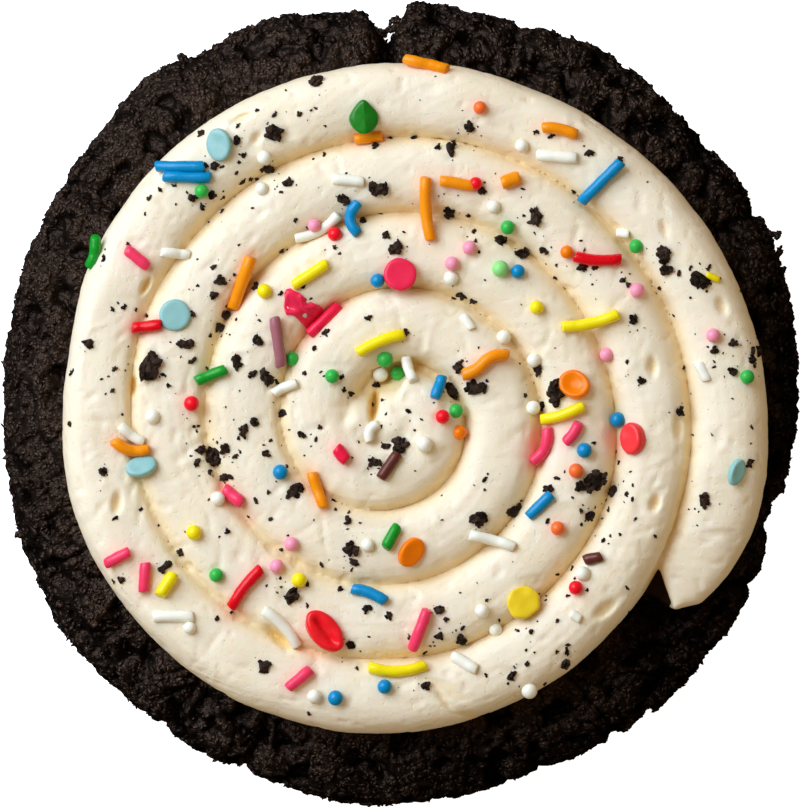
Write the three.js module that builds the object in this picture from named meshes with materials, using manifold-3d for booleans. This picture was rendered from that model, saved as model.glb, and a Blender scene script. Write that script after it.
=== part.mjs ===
// Thick dark cookie with a piped spiral of cream on top and sprinkles pressed into the cream.
// Millimetres, +Z up, the flat underside on z = 0 and the middle of the cookie on the Z axis.
import * as THREE from "three";
import { ImprovedNoise } from "three/addons/math/ImprovedNoise.js";
import { mergeVertices } from "three/addons/utils/BufferGeometryUtils.js";
import Module from "manifold-3d";

const wasm = await Module();
wasm.setup();

// Cookie sizes.
const COOKIE_RADIUS = 57.3;
const COOKIE_HEIGHT = 17;
const BELLY_HEIGHT = 7;
const FOOT_INSET = 3.2;
const CROWN_MARGIN = 1.2;
const COOKIE_SIDES = 132;
const FOOT_RINGS = 4;
const SHOULDER_RINGS = 9;
const LUMP_HEIGHT = 1.1;
const LUMP_SIZE = 6.5;
const CRAG_HEIGHT = 0.7;
const CRAG_SIZE = 3.1;

// The outline's lobes and dents: degrees from +X, added radius, half width in degrees.
const LOBES = [
  [27, 1.5, 13],
  [57, 1.4, 12],
  [104, 0.8, 6],
  [126, 1.7, 9],
  [145, 0.9, 9],
  [181, 0.3, 12],
  [212, 1.2, 13],
  [240, 0.7, 4],
  [263, 0.6, 7],
  [291, -1.2, 10],
];

// The cracks that run in from the edge: degrees from +X, depth, half width in degrees.
const CRACKS = [
  [91.5, 5.2, 2.4],
  [234, 1.1, 2.4],
  [247, 1.8, 3],
  [344, 2.3, 3.6],
];

// Cream sizes. The rope winds inwards as its angle grows.
const CREAM_GAP = 0.3;
const CREAM_FLOOR = COOKIE_HEIGHT + CREAM_GAP;
const SWIRL_X = -1.15;
const SWIRL_Y = -1.94;
const SWIRL_PITCH = 10.72;
const RIDGE_START_RADIUS = 48;
const ROPE_OUTER_HALF = 5.3;
const ROPE_INNER_HALF = 6.3;
const ROPE_HEIGHT = 8.6;
const ROPE_SQUARENESS = 2.2;
const ROPE_SINK = 1;
const TAIL_ANGLE = -34.5;
const TAIL_INNER_ANGLE = -29;
const TAIL_FULL_ANGLE = -9;
const TAIL_TIP_HEIGHT = 0.45;
const HEART_ANGLE = 1475;
const HEART_ROUND_ANGLE = 1385;
const HEART_RADIUS = 8.4;
const HEART_HEIGHT = 7.8;
const ROPE_STEP = 5.6;
const ROPE_SIDES = 11;
const PIECE_ANGLE = 270;

// Sprinkle sizes.
const DISC_DIAMETER = 4.6;
const DISC_THICKNESS = 1.5;
const ROD_DIAMETER = 1.7;
const BALL_DIAMETER = 2.1;
const DISC_RISE = 0.35;
const DISC_LEAN_SINK = 0.9;
const ROD_RISE = 0.2;
const ROD_SLOPE = 0.2;
const BALL_RISE = 0.45;
const EDGE_SHARE = 0.9;

// Flat discs: x, y, lean of the face from level, the way it leans.
const DISCS = [
  [-25.8, 36.9, 40, 185],
  [-5.1, 40.9, 32, 0],
  [0, 18.4, 6, 90],
  [-32.1, 12.6, 8, 150],
  [-36.9, -9, 48, 105],
  [24.9, 2.7, 34, 120],
  [33.2, -5, 35, 185],
  [48, -9.8, 60, -20],
  [1.6, -21.2, 46, -35],
  [17.6, -28.4, 10, 20],
  [-10.8, -32.5, 30, 40],
  [-14.1, 13.9, 20, 60],
];

// Rods: x and y of one end, x and y of the other.
const RODS = [
  [0.7, 49.2, 6.8, 47.7], [-6.5, 37.7, -2.5, 38.2], [3.7, 32.3, 4.4, 23.3], [5.7, 31.8, 10.4, 31],
  [14.5, 31.4, 17.1, 32.3], [20.3, 39.4, 25.3, 38.3], [-21.3, 20.9, -23.9, 13.4], [-40.9, -5.3, -35.9, -6.6],
  [9, 4.1, 15.4, 7.4], [-12.6, -9.8, -10.9, -14.8], [-34.9, 33.8, -27.9, 33.8], [-33.7, 32.4, -27, 32.2],
  [-5.9, 28.7, -6, 24.2], [31.6, 34.5, 25.8, 28.7], [6.1, 3.9, 5, 0.8], [21.6, -12.9, 18.3, -16.2],
  [-6.9, -26.4, -2, -28.2], [-43.5, 23.8, -44.4, 19.5], [-29.1, 3.2, -24.8, 4.9], [-0.4, -17.5, -2.1, -20.6],
  [-39.1, 22, -36, 19.6], [-38.2, 10.8, -34.1, 11.2], [-25.2, -12.2, -22.5, -14.2], [-8.7, 14, -13, 9.8],
  [-9.1, -6.3, -7.6, -8.2], [21, -3.5, 18.8, -8.4], [25.5, -2.7, 23.6, -5.6], [-42, -22.9, -38.6, -21.1],
  [-36.3, -22.7, -36.6, -26.9], [3.9, -29.4, 1.8, -35.1], [-16, -40.6, -12.7, -37.9], [24.9, 21, 31.6, 20.6],
  [-19.8, -23.5, -24.1, -29.2], [-10.4, 20, -15.3, 16.8], [-6, 7.2, 0.7, 9.9], [23.1, 11, 31.2, 12.8],
  [20, -2.3, 26.2, -0.3], [-32.3, -24.3, -34.3, -27.4], [-4.5, -37.6, 3.7, -37.3], [-17.9, 12.3, -16.9, 5.2],
  [-0.3, -7.1, -2.8, -10.7], [26.3, -22.4, 28.8, -21.8], [-34.1, 21.6, -30.1, 21.2], [-9.7, 32.1, -5.2, 31.6],
  [-15, 23.6, -8.8, 27], [19.6, 35.5, 25.3, 35], [-39.9, -3.1, -36.5, -5.5], [0.9, 6.7, 1.9, 3.2],
  [-18.1, 1.4, -14.7, 2.9], [-35.2, -30.4, -29.4, -30.4], [9.9, -18.8, 16.3, -20.5], [7.5, -36, 11, -38],
  [-19.5, -29.4, -14.6, -34.7],
];

// Balls: x, y.
const BALLS = [
  [-28.3, 30.3], [15.4, 25.2], [33.8, 22.5], [-15.3, 6.3], [-9.7, 3.9], [-2.2, 6.4], [-0.3, 4.2], [7.9, -1.1],
  [49.5, 3.8], [-26.2, -24.5], [14.3, 19.2], [-3.2, 17.6], [16.8, 18.8], [31.2, -2.3], [26.3, -6.7],
  [-17.1, -9.8], [-2.2, -40.4], [-9.2, -42], [10.8, 31.4], [-9.3, 24.1], [-29.8, 0], [6.1, -1.9],
  [25.1, -26.3], [11.4, 42.2], [23.8, 21.6], [8.4, -4.1], [25.1, -9.6], [22.5, -17.8], [-12.3, 25.5],
  [9.9, 22.2], [7.4, 20], [33.8, 16.1], [29.6, 7], [44.7, 9.7], [-15.5, -20], [-17.6, -23.2], [-19.3, 16],
  [19.5, 13.7], [-29.4, -18.4], [-14.4, -25.2], [-19.4, 35.1], [-19.7, 30.6], [17.4, 36.8], [13.4, 28.1],
  [-26, -13.6], [-2.9, 4.2], [14.7, 9.4], [3.5, -5.8], [19.2, 6.2], [18.9, -0.6], [-4.6, -20.2],
  [-12.2, -41.8], [11.7, -29.6], [13.6, -32.2], [18.4, -40.9], [26.1, -24.3],
];

const noise = new ImprovedNoise();
const radians = THREE.MathUtils.degToRad;
const { clamp, smoothstep } = THREE.MathUtils;

// One closed geometry from rings of points with a single point at each end.
function closeRings(first, rings, last) {
  const sides = rings[0].length;
  const points = [first, ...rings.flat(), last];
  const end = points.length - 1;
  const at = (ring, side) => 1 + ring * sides + (side % sides);
  const index = [];
  for (let s = 0; s < sides; s++) {
    index.push(0, at(0, s + 1), at(0, s));
    for (let r = 0; r + 1 < rings.length; r++) {
      index.push(at(r, s), at(r, s + 1), at(r + 1, s + 1));
      index.push(at(r, s), at(r + 1, s + 1), at(r + 1, s));
    }
    index.push(at(rings.length - 1, s), at(rings.length - 1, s + 1), end);
  }
  const geometry = new THREE.BufferGeometry().setFromPoints(points);
  return geometry.setIndex(index);
}

// A geometry as a solid that can be joined and cut.
function solid(geometry) {
  const bare = geometry.index ? geometry.clone() : mergeVertices(geometry);
  bare.deleteAttribute("normal");
  bare.deleteAttribute("uv");
  const welded = mergeVertices(bare, 1e-4);
  const corners = welded.index.array;
  const kept = [];
  for (let i = 0; i < corners.length; i += 3) {
    const [a, b, c] = corners.slice(i, i + 3);
    if (a !== b && b !== c && c !== a) kept.push(a, b, c);
  }
  const mesh = new wasm.Mesh({
    numProp: 3,
    vertProperties: new Float32Array(welded.attributes.position.array),
    triVerts: new Uint32Array(kept),
  });
  return new wasm.Manifold(mesh);
}

// A solid as a geometry.
function geometryOf(body) {
  const mesh = body.getMesh();
  const geometry = new THREE.BufferGeometry();
  geometry.setAttribute("position", new THREE.BufferAttribute(mesh.vertProperties, 3));
  geometry.setIndex(new THREE.BufferAttribute(mesh.triVerts, 1));
  geometry.computeVertexNormals();
  return geometry;
}

// Smallest turn between two directions in degrees.
function turnBetween(a, b) {
  return Math.abs(((a - b + 540) % 360) - 180);
}

// How deep the cracks cut at this direction.
function crackDepth(degrees) {
  let depth = 0;
  for (const [at, deep, half] of CRACKS) {
    depth += deep * Math.max(0, 1 - turnBetween(degrees, at) / half);
  }
  return depth;
}

// Radius of the cookie's outline at this direction.
function outlineRadius(degrees) {
  let radius = COOKIE_RADIUS;
  for (const [at, added, half] of LOBES) {
    radius += added * Math.exp(-((turnBetween(degrees, at) / half) ** 2));
  }
  return radius;
}

// Radius of the rope's ridge about the middle of the swirl.
function ridgeRadius(angle) {
  return RIDGE_START_RADIUS - (SWIRL_PITCH * angle) / 360;
}

// The rope's size at an angle: half widths to the outside and inside, and height.
function ropeSize(angle) {
  const outerTaper = clamp((angle - TAIL_ANGLE) / (TAIL_FULL_ANGLE - TAIL_ANGLE), 0, 1);
  const innerTaper = clamp((angle - TAIL_ANGLE) / (TAIL_INNER_ANGLE - TAIL_ANGLE), 0, 1);
  const start = clamp((HEART_ANGLE - angle) / (HEART_ANGLE - HEART_ROUND_ANGLE), 0, 1);
  const round = Math.sqrt(1 - (1 - start) ** 2);
  const inner = Math.min(ROPE_INNER_HALF, 0.95 * ridgeRadius(angle));
  return {
    outer: Math.max(0.05, ROPE_OUTER_HALF * Math.sqrt(outerTaper) * round),
    inner: Math.max(0.05, inner * innerTaper * round),
    height: ROPE_HEIGHT * (TAIL_TIP_HEIGHT + (1 - TAIL_TIP_HEIGHT) * outerTaper) * (0.55 + 0.45 * round),
  };
}

// Angle along the rope of the outermost turn that lies in this direction from the swirl's middle.
function outerTurn(x, y) {
  const degrees = THREE.MathUtils.radToDeg(Math.atan2(y - SWIRL_Y, x - SWIRL_X));
  return degrees < TAIL_ANGLE ? degrees + 360 : degrees;
}

// How far a point lies inside the edge of the cream.
function coverDepth(x, y) {
  const angle = outerTurn(x, y);
  const reach = ridgeRadius(angle) + ropeSize(angle).outer;
  return reach - Math.hypot(x - SWIRL_X, y - SWIRL_Y);
}

// Height of the cream's surface over its own floor.
function creamHeight(x, y) {
  const radius = Math.hypot(x - SWIRL_X, y - SWIRL_Y);
  let height = HEART_HEIGHT * Math.sqrt(Math.max(0, 1 - (radius / HEART_RADIUS) ** 2));
  for (let angle = outerTurn(x, y); angle < HEART_ANGLE; angle += 360) {
    const size = ropeSize(angle);
    const across = radius - ridgeRadius(angle);
    const first = angle < TAIL_ANGLE + 360;
    const share = across > 0 ? across / size.outer : -across / size.inner;
    const held = first && across > 0 ? Math.min(share, EDGE_SHARE) : Math.min(share, 1);
    const rise = (1 - held ** ROPE_SQUARENESS) ** (1 / ROPE_SQUARENESS);
    height = Math.max(height, size.height * rise);
  }
  return height;
}

// Lumps and crags of the baked crust, nothing where the cream lies on it.
function crust(point) {
  const cover = coverDepth(point.x, point.y);
  const bare = 1 - smoothstep(cover, -1.5, 0.5);
  const lump = noise.noise(point.x / LUMP_SIZE + 9, point.y / LUMP_SIZE, point.z / LUMP_SIZE);
  const crag = noise.noise(point.x / CRAG_SIZE, point.y / CRAG_SIZE + 4, point.z / CRAG_SIZE);
  return bare * (LUMP_HEIGHT * (lump - 0.35) + CRAG_HEIGHT * (crag - 0.3));
}

// One point of the cookie's side: the direction, and the turn of its profile from underside to top.
function cookiePoint(degrees, turn) {
  const crack = crackDepth(degrees);
  const radius = outlineRadius(degrees);
  const way = new THREE.Vector2(Math.cos(radians(degrees)), Math.sin(radians(degrees)));
  const crown = RIDGE_START_RADIUS - SWIRL_PITCH * 0.5 + ROPE_OUTER_HALF - CROWN_MARGIN;
  const inset = turn < 0 ? FOOT_INSET : radius - crown;
  const rise = turn < 0 ? BELLY_HEIGHT : COOKIE_HEIGHT - BELLY_HEIGHT;
  const out = Math.cos(radians(turn));
  const up = Math.sin(radians(turn));
  const side = radius - inset * (1 - out);
  const point = new THREE.Vector3(way.x * side, way.y * side, BELLY_HEIGHT + rise * up);
  const relief = turn <= -90 ? 0 : crust(point);
  const cut = crack * (turn < 0 ? 1 : out);
  point.x += way.x * (relief * out - cut);
  point.y += way.y * (relief * out - cut);
  point.z += relief * Math.max(0, up) - 0.5 * crack * out * Math.max(0, up);
  return point;
}

// The cookie: rings from the edge of the flat underside round the side to the flat top.
function cookieGeometry() {
  const turns = [];
  for (let i = 0; i <= FOOT_RINGS; i++) turns.push(-90 + (90 * i) / FOOT_RINGS);
  for (let i = 1; i <= SHOULDER_RINGS; i++) turns.push((90 * i) / SHOULDER_RINGS);
  const rings = turns.map((turn) => {
    const ring = [];
    for (let s = 0; s < COOKIE_SIDES; s++) {
      ring.push(cookiePoint(CRACKS[0][0] + (360 * s) / COOKIE_SIDES, turn));
    }
    return ring;
  });
  const bottom = new THREE.Vector3(SWIRL_X, SWIRL_Y, 0);
  const top = new THREE.Vector3(SWIRL_X, SWIRL_Y, COOKIE_HEIGHT);
  return closeRings(bottom, rings, top);
}

// One section across the rope, from its inner foot over the top to its outer foot.
function ropeSection(angle) {
  const size = ropeSize(angle);
  const ring = [];
  const power = 2 / ROPE_SQUARENESS;
  for (let i = 0; i < ROPE_SIDES; i++) {
    const turn = Math.PI * (1 - i / (ROPE_SIDES - 1));
    const half = Math.cos(turn) > 0 ? size.outer : size.inner;
    const across = half * Math.sign(Math.cos(turn)) * Math.abs(Math.cos(turn)) ** power;
    const up = size.height * Math.sin(turn) ** power;
    ring.push(ropePoint(angle, across, CREAM_FLOOR + up));
  }
  ring.push(ropePoint(angle, size.outer, CREAM_FLOOR - ROPE_SINK));
  ring.push(ropePoint(angle, -size.inner, CREAM_FLOOR - ROPE_SINK));
  return ring;
}

// A point beside the ridge line.
function ropePoint(angle, across, z) {
  const radius = ridgeRadius(angle) + across;
  return new THREE.Vector3(
    SWIRL_X + radius * Math.cos(radians(angle)),
    SWIRL_Y + radius * Math.sin(radians(angle)),
    z,
  );
}

// A run of the rope between two angles, less than one turn.
function ropePiece(from, to) {
  const length = radians(to - from) * ridgeRadius((from + to) / 2);
  const steps = Math.max(8, Math.ceil(length / ROPE_STEP));
  const rings = [];
  for (let i = 0; i <= steps; i++) rings.push(ropeSection(from + ((to - from) * i) / steps));
  const middle = (ring) => ring.reduce((sum, p) => sum.add(p), new THREE.Vector3()).divideScalar(ring.length);
  return solid(closeRings(middle(rings[0]), rings, middle(rings[steps])));
}

// A sprinkle set down at a place, turned so that its own Z axis points along a direction.
function setDown(geometry, place, axis) {
  const turn = new THREE.Quaternion().setFromUnitVectors(new THREE.Vector3(0, 0, 1), axis);
  geometry.applyQuaternion(turn);
  geometry.translate(place.x, place.y, place.z);
  return solid(geometry);
}

// A flat disc that leans on the cream.
function disc([x, y, lean, way]) {
  const geometry = new THREE.CylinderGeometry(DISC_DIAMETER / 2, DISC_DIAMETER / 2, DISC_THICKNESS, 10);
  geometry.rotateX(Math.PI / 2);
  const flat = Math.sin(radians(lean));
  const axis = new THREE.Vector3(
    flat * Math.cos(radians(way)),
    flat * Math.sin(radians(way)),
    Math.cos(radians(lean)),
  );
  const place = new THREE.Vector3(x, y, CREAM_FLOOR + creamHeight(x, y) + DISC_RISE - DISC_LEAN_SINK * flat);
  return setDown(geometry, place, axis);
}

// A rod that rests on the highest points of the cream under it.
function rod([x1, y1, x2, y2]) {
  const from = new THREE.Vector3(x1, y1, 0);
  const to = new THREE.Vector3(x2, y2, 0);
  const steepest = ROD_SLOPE * from.distanceTo(to);
  to.z = clamp(creamHeight(x2, y2) - creamHeight(x1, y1), -steepest, steepest);
  let lift = 0;
  for (const share of [0, 0.25, 0.5, 0.75, 1]) {
    const at = from.clone().lerp(to, share);
    lift = Math.max(lift, creamHeight(at.x, at.y) - at.z);
  }
  const along = to.clone().sub(from);
  const geometry = new THREE.CylinderGeometry(ROD_DIAMETER / 2, ROD_DIAMETER / 2, along.length(), 6);
  geometry.rotateX(Math.PI / 2);
  const place = from.lerp(to, 0.5);
  place.z += CREAM_FLOOR + ROD_RISE + lift;
  return setDown(geometry, place, along.normalize());
}

// A ball sunk a little into the cream.
function ball([x, y]) {
  const geometry = new THREE.IcosahedronGeometry(BALL_DIAMETER / 2, 0);
  const place = new THREE.Vector3(x, y, CREAM_FLOOR + creamHeight(x, y) + BALL_RISE);
  return setDown(geometry, place, new THREE.Vector3(0, 0, 1));
}

// The cream with its sprinkles, cut flat underneath.
function creamGeometry() {
  const heart = new THREE.SphereGeometry(1, 12, 8);
  heart.rotateX(Math.PI / 2);
  heart.scale(HEART_RADIUS, HEART_RADIUS, HEART_HEIGHT);
  heart.translate(SWIRL_X, SWIRL_Y, CREAM_FLOOR);
  let cream = solid(heart);
  for (let from = TAIL_ANGLE; from < HEART_ANGLE; from += PIECE_ANGLE) {
    const to = Math.min(from + PIECE_ANGLE + 4, HEART_ANGLE);
    cream = cream.add(ropePiece(from, to));
  }
  for (const place of DISCS) cream = cream.add(disc(place));
  for (const place of RODS) cream = cream.add(rod(place));
  for (const place of BALLS) cream = cream.add(ball(place));
  const slab = new THREE.BoxGeometry(4 * COOKIE_RADIUS, 4 * COOKIE_RADIUS, 2 * COOKIE_HEIGHT);
  slab.translate(0, 0, CREAM_FLOOR - COOKIE_HEIGHT);
  return geometryOf(cream.subtract(solid(slab)));
}

// A named mesh with its material.
function piece(name, geometry, color, roughness) {
  const mesh = new THREE.Mesh(geometry, new THREE.MeshStandardMaterial({ color, roughness }));
  mesh.name = name;
  return mesh;
}

const cookie = new THREE.Group();
cookie.add(piece("cookie_base", geometryOf(solid(cookieGeometry())), 0x2c211c, 0.85));
cookie.add(piece("cream_swirl", creamGeometry(), 0xf3ead8, 0.5));

export default cookie;
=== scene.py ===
"""A thick dark cookie with a piped spiral of cream, sugar sprinkles and cookie crumbs.

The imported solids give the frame. Each class here builds one part of the cookie over them, in the same
place and size, and dresses it. Sizes are in millimetres, and meshes are written in metres.
"""

from __future__ import annotations

import logging
import math
import random
from dataclasses import dataclass
from enum import Enum
from typing import Iterable, Sequence, Union

import bpy
import numpy as np
from mathutils import Matrix, Vector, noise
from mathutils.bvhtree import BVHTree


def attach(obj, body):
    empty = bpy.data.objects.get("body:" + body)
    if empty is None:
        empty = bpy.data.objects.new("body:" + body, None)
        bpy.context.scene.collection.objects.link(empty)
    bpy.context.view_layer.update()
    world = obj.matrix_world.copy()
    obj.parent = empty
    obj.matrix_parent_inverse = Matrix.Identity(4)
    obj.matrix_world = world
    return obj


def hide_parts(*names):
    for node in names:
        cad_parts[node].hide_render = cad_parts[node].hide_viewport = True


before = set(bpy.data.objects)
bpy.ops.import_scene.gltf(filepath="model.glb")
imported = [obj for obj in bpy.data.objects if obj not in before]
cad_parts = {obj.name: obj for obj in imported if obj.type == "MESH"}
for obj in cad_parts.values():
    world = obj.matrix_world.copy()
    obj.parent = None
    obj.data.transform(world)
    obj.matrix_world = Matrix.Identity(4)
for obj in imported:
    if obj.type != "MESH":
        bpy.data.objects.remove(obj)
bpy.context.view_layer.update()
LOG = logging.getLogger("cookie")
MM = 0.001
SEED = 41
UP = Vector((0.0, 0.0, 1.0))
DOWN = Vector((0.0, 0.0, -1.0))
FLAT = np.array([1.0, 1.0, 0.0])
FOLD_LEVEL = 0.25

Range = tuple[float, float]
Colour = tuple[float, float, float, float]
Shape = tuple[np.ndarray, list[tuple[int, ...]]]


def linear(red: float, green: float, blue: float) -> Colour:
    """Turns a colour as it is seen, 0 to 255, into the shader's linear colour.

    Args:
        red: Red, 0 to 255.
        green: Green, 0 to 255.
        blue: Blue, 0 to 255.

    Returns:
        Linear red, green, blue and an alpha of 1.
    """
    parts = []
    for part in (red / 255, green / 255, blue / 255):
        parts.append(part / 12.92 if part <= 0.04045 else ((part + 0.055) / 1.055) ** 2.4)
    return (parts[0], parts[1], parts[2], 1.0)


def smooth(low: float, high: float, values: np.ndarray) -> np.ndarray:
    """Rises smoothly from 0 at low to 1 at high.

    Args:
        low: Where the rise starts.
        high: Where it ends.
        values: The values to map.

    Returns:
        The shares, 0 to 1.
    """
    share = np.clip((values - low) / (high - low), 0.0, 1.0)
    return share * share * (3.0 - 2.0 * share)


def apart(degrees: np.ndarray, angle: float) -> np.ndarray:
    """Angles between directions and one direction, in degrees, the short way round."""
    return np.abs((degrees - angle + 180.0) % 360.0 - 180.0)


def waves(points: np.ndarray, size: float, shift: float = 0.0) -> np.ndarray:
    """Smooth noise at each point.

    Args:
        points: Points in millimetres.
        size: Size of a lump in millimetres.
        shift: Moves the pattern, so that two calls differ.

    Returns:
        A value from about -1 to 1 for each point.
    """
    return np.array([noise.noise(Vector(point)) for point in points / size + shift])


def cells(points: np.ndarray, size: float, shift: float = 0.0) -> tuple[np.ndarray, np.ndarray]:
    """Distances to the nearest and the next of scattered cell middles, in cell sizes.

    Args:
        points: Points in millimetres.
        size: Size of a cell in millimetres.
        shift: Moves the pattern, so that two calls differ.

    Returns:
        The nearest and the second nearest distance for each point.
    """
    found = np.array([noise.voronoi(Vector(point))[0] for point in points / size + shift])
    return found[:, 0], found[:, 1]


@dataclass(frozen=True)
class Ripple:
    """Smooth relief: its height, the size of its lumps, and a shift that sets it apart from others."""

    height: float
    size: float
    shift: float

    def at(self, points: np.ndarray) -> np.ndarray:
        """Heights of soft lumps at points."""
        return self.height * waves(points, self.size, self.shift)

    def folds(self, points: np.ndarray) -> np.ndarray:
        """Heights of sharp folds at points."""
        return self.height * (FOLD_LEVEL - np.abs(waves(points, self.size, self.shift)))

    def spots(self, points: np.ndarray, band: Range) -> np.ndarray:
        """Heights of spots where the noise rises through a band."""
        return self.height * smooth(*band, waves(points, self.size, self.shift))


class Value:
    """A number that varies over a surface. Arithmetic on it adds Math nodes."""

    def __init__(self, graph: "Graph", socket: bpy.types.NodeSocket) -> None:
        """Wraps one output socket of a graph."""
        self.graph = graph
        self.socket = socket

    def _math(self, operation: str, first: "Number", second: "Number") -> "Value":
        """Adds one Math node and returns its output."""
        made = self.graph.node("ShaderNodeMath", {"operation": operation}, {0: first, 1: second})
        return Value(self.graph, made.outputs[0])

    def __add__(self, other: "Number") -> "Value":
        """Sum, in either order."""
        return self._math("ADD", self, other)

    def __sub__(self, other: "Number") -> "Value":
        """Difference."""
        return self._math("SUBTRACT", self, other)

    def __mul__(self, other: "Number") -> "Value":
        """Product, in either order."""
        return self._math("MULTIPLY", self, other)

    __radd__ = __add__
    __rmul__ = __mul__

    def between(self, low: float, high: float) -> "Value":
        """Rises smoothly from 0 at low to 1 at high."""
        sockets = {"Value": self, "From Min": low, "From Max": high}
        made = self.graph.node("ShaderNodeMapRange", {"interpolation_type": "SMOOTHSTEP"}, sockets)
        return Value(self.graph, made.outputs[0])


Number = Union[Value, float]


class Graph:
    """The node graph of one finish."""

    def __init__(self, name: str) -> None:
        """Starts an empty graph for a material of this name."""
        self.material = bpy.data.materials.new(name)
        self.material.use_nodes = True
        self.tree = self.material.node_tree
        self.tree.nodes.clear()

    def node(self, kind: str, settings: dict | None = None, sockets: dict | None = None) -> bpy.types.Node:
        """Adds a node.

        Args:
            kind: The node's type.
            settings: Its properties, set first.
            sockets: Values or links of its inputs, by name or place.

        Returns:
            The node.
        """
        made = self.tree.nodes.new(kind)
        for name, value in (settings or {}).items():
            setattr(made, name, value)
        for name, value in (sockets or {}).items():
            target = made.inputs[name]
            if isinstance(value, Value):
                self.tree.links.new(value.socket, target)
            elif isinstance(value, bpy.types.NodeSocket):
                self.tree.links.new(value, target)
            else:
                target.default_value = value
        return made

    def grain(self, size: float, detail: float = 2.0, rough: float = 0.5, kind: str = "FBM") -> Value:
        """Noise with lumps of a size in millimetres, about 0 to 1."""
        place = self.node("ShaderNodeTexCoord").outputs["Object"]
        sockets = {"Vector": place, "Scale": 1.0 / (size * MM), "Detail": detail, "Roughness": rough}
        return Value(self, self.node("ShaderNodeTexNoise", {"noise_type": kind}, sockets).outputs[0])

    def attribute(self, name: str) -> bpy.types.Node:
        """A named value kept on the mesh."""
        return self.node("ShaderNodeAttribute", {"attribute_name": name})

    def mix(self, share: Number, first: object, second: object, blend: str = "MIX") -> bpy.types.NodeSocket:
        """Mixes two colours.

        Args:
            share: How much of the second.
            first: A colour or a link.
            second: A colour or a link.
            blend: How they blend.

        Returns:
            The mixed colour.
        """
        settings = {"data_type": "RGBA", "blend_type": blend}
        return self.node("ShaderNodeMix", settings, {0: share, 6: first, 7: second}).outputs[2]

    def bump(self, height: Value, depth: float, strength: float = 1.0) -> bpy.types.NodeSocket:
        """A surface relief of a depth in millimetres."""
        sockets = {"Height": height, "Distance": depth * MM, "Strength": strength}
        return self.node("ShaderNodeBump", {}, sockets).outputs[0]

    def surface(self, sockets: dict) -> bpy.types.Material:
        """Ends the graph in one Principled surface and returns the material."""
        shader = self.node("ShaderNodeBsdfPrincipled", {}, sockets)
        self.node("ShaderNodeOutputMaterial", {}, {"Surface": shader.outputs[0]})
        return self.material


class Coat(Enum):
    """Colours of the sprinkles as they are seen."""

    ORANGE = (255, 150, 12)
    TANGERINE = (255, 128, 0)
    CORAL = (255, 115, 48)
    BLUE = (0, 139, 186)
    SKY = (146, 193, 182)
    GREEN = (55, 186, 72)
    FERN = (22, 154, 40)
    LIME = (148, 228, 129)
    LEAF = (32, 128, 30)
    ROSE = (255, 63, 98)
    CERISE = (246, 42, 78)
    CRIMSON = (246, 28, 68)
    RED = (232, 4, 26)
    CHERRY = (255, 19, 37)
    SCARLET = (248, 30, 38)
    POPPY = (252, 58, 60)
    PINK = (255, 159, 176)
    YELLOW = (255, 231, 16)
    STRAW = (246, 210, 38)
    PLUM = (168, 104, 106)
    COCOA = (102, 48, 37)
    WHITE = (249, 244, 218)

    @property
    def shade(self) -> Colour:
        """The coat's linear colour."""
        return linear(*self.value)


class Finish:
    """What a surface is made of."""

    def material(self, name: str) -> bpy.types.Material:
        """Makes the material.

        Args:
            name: Its name.

        Returns:
            The material.
        """
        graph = Graph(name)
        return graph.surface(self.sockets(graph))

    def sockets(self, graph: Graph) -> dict:
        """Builds the nodes and returns the surface's inputs."""
        raise NotImplementedError


@dataclass(frozen=True)
class CookieFinish(Finish):
    """Baked dark chocolate crumb: almost black, matt, with a broken sheen on its crags and painted shade in
    its crevices.
    """

    dark: Colour = (0.0012, 0.0009, 0.0006, 1.0)
    light: Colour = (0.0150, 0.0090, 0.0056, 1.0)
    grit: float = 0.45
    crumb: float = 1.2
    relief: float = 0.45
    sheen: float = 0.4
    glint: Colour = (1.0, 0.57, 0.35, 1.0)

    def sockets(self, graph: Graph) -> dict:
        """Lightens the crags and darkens the crevices with the kept tone (painted shade), adds random crumb
        tone, and raises grit and crumb.
        """
        tone_and_shade = Value(graph, graph.attribute("crag").outputs["Fac"])
        grit = graph.grain(self.grit, 2.0, 0.5, "RIDGED_MULTIFRACTAL")
        crumb = graph.grain(self.crumb, 3.0, 0.6)
        # Painted shade: the kept tone, lighter on crags and darker in crevices, plus random crumb tone.
        tone = (tone_and_shade * 0.9 + crumb * 0.3 - 0.1).between(0.1, 0.95)
        return {
            "Base Color": graph.mix(tone, self.dark, self.light),
            "Roughness": 0.38 + 0.24 * crumb,
            "Specular IOR Level": self.sheen,
            "Specular Tint": self.glint,
            "Normal": graph.bump(grit * 0.4 + crumb * 0.6, self.relief),
        }


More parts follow.
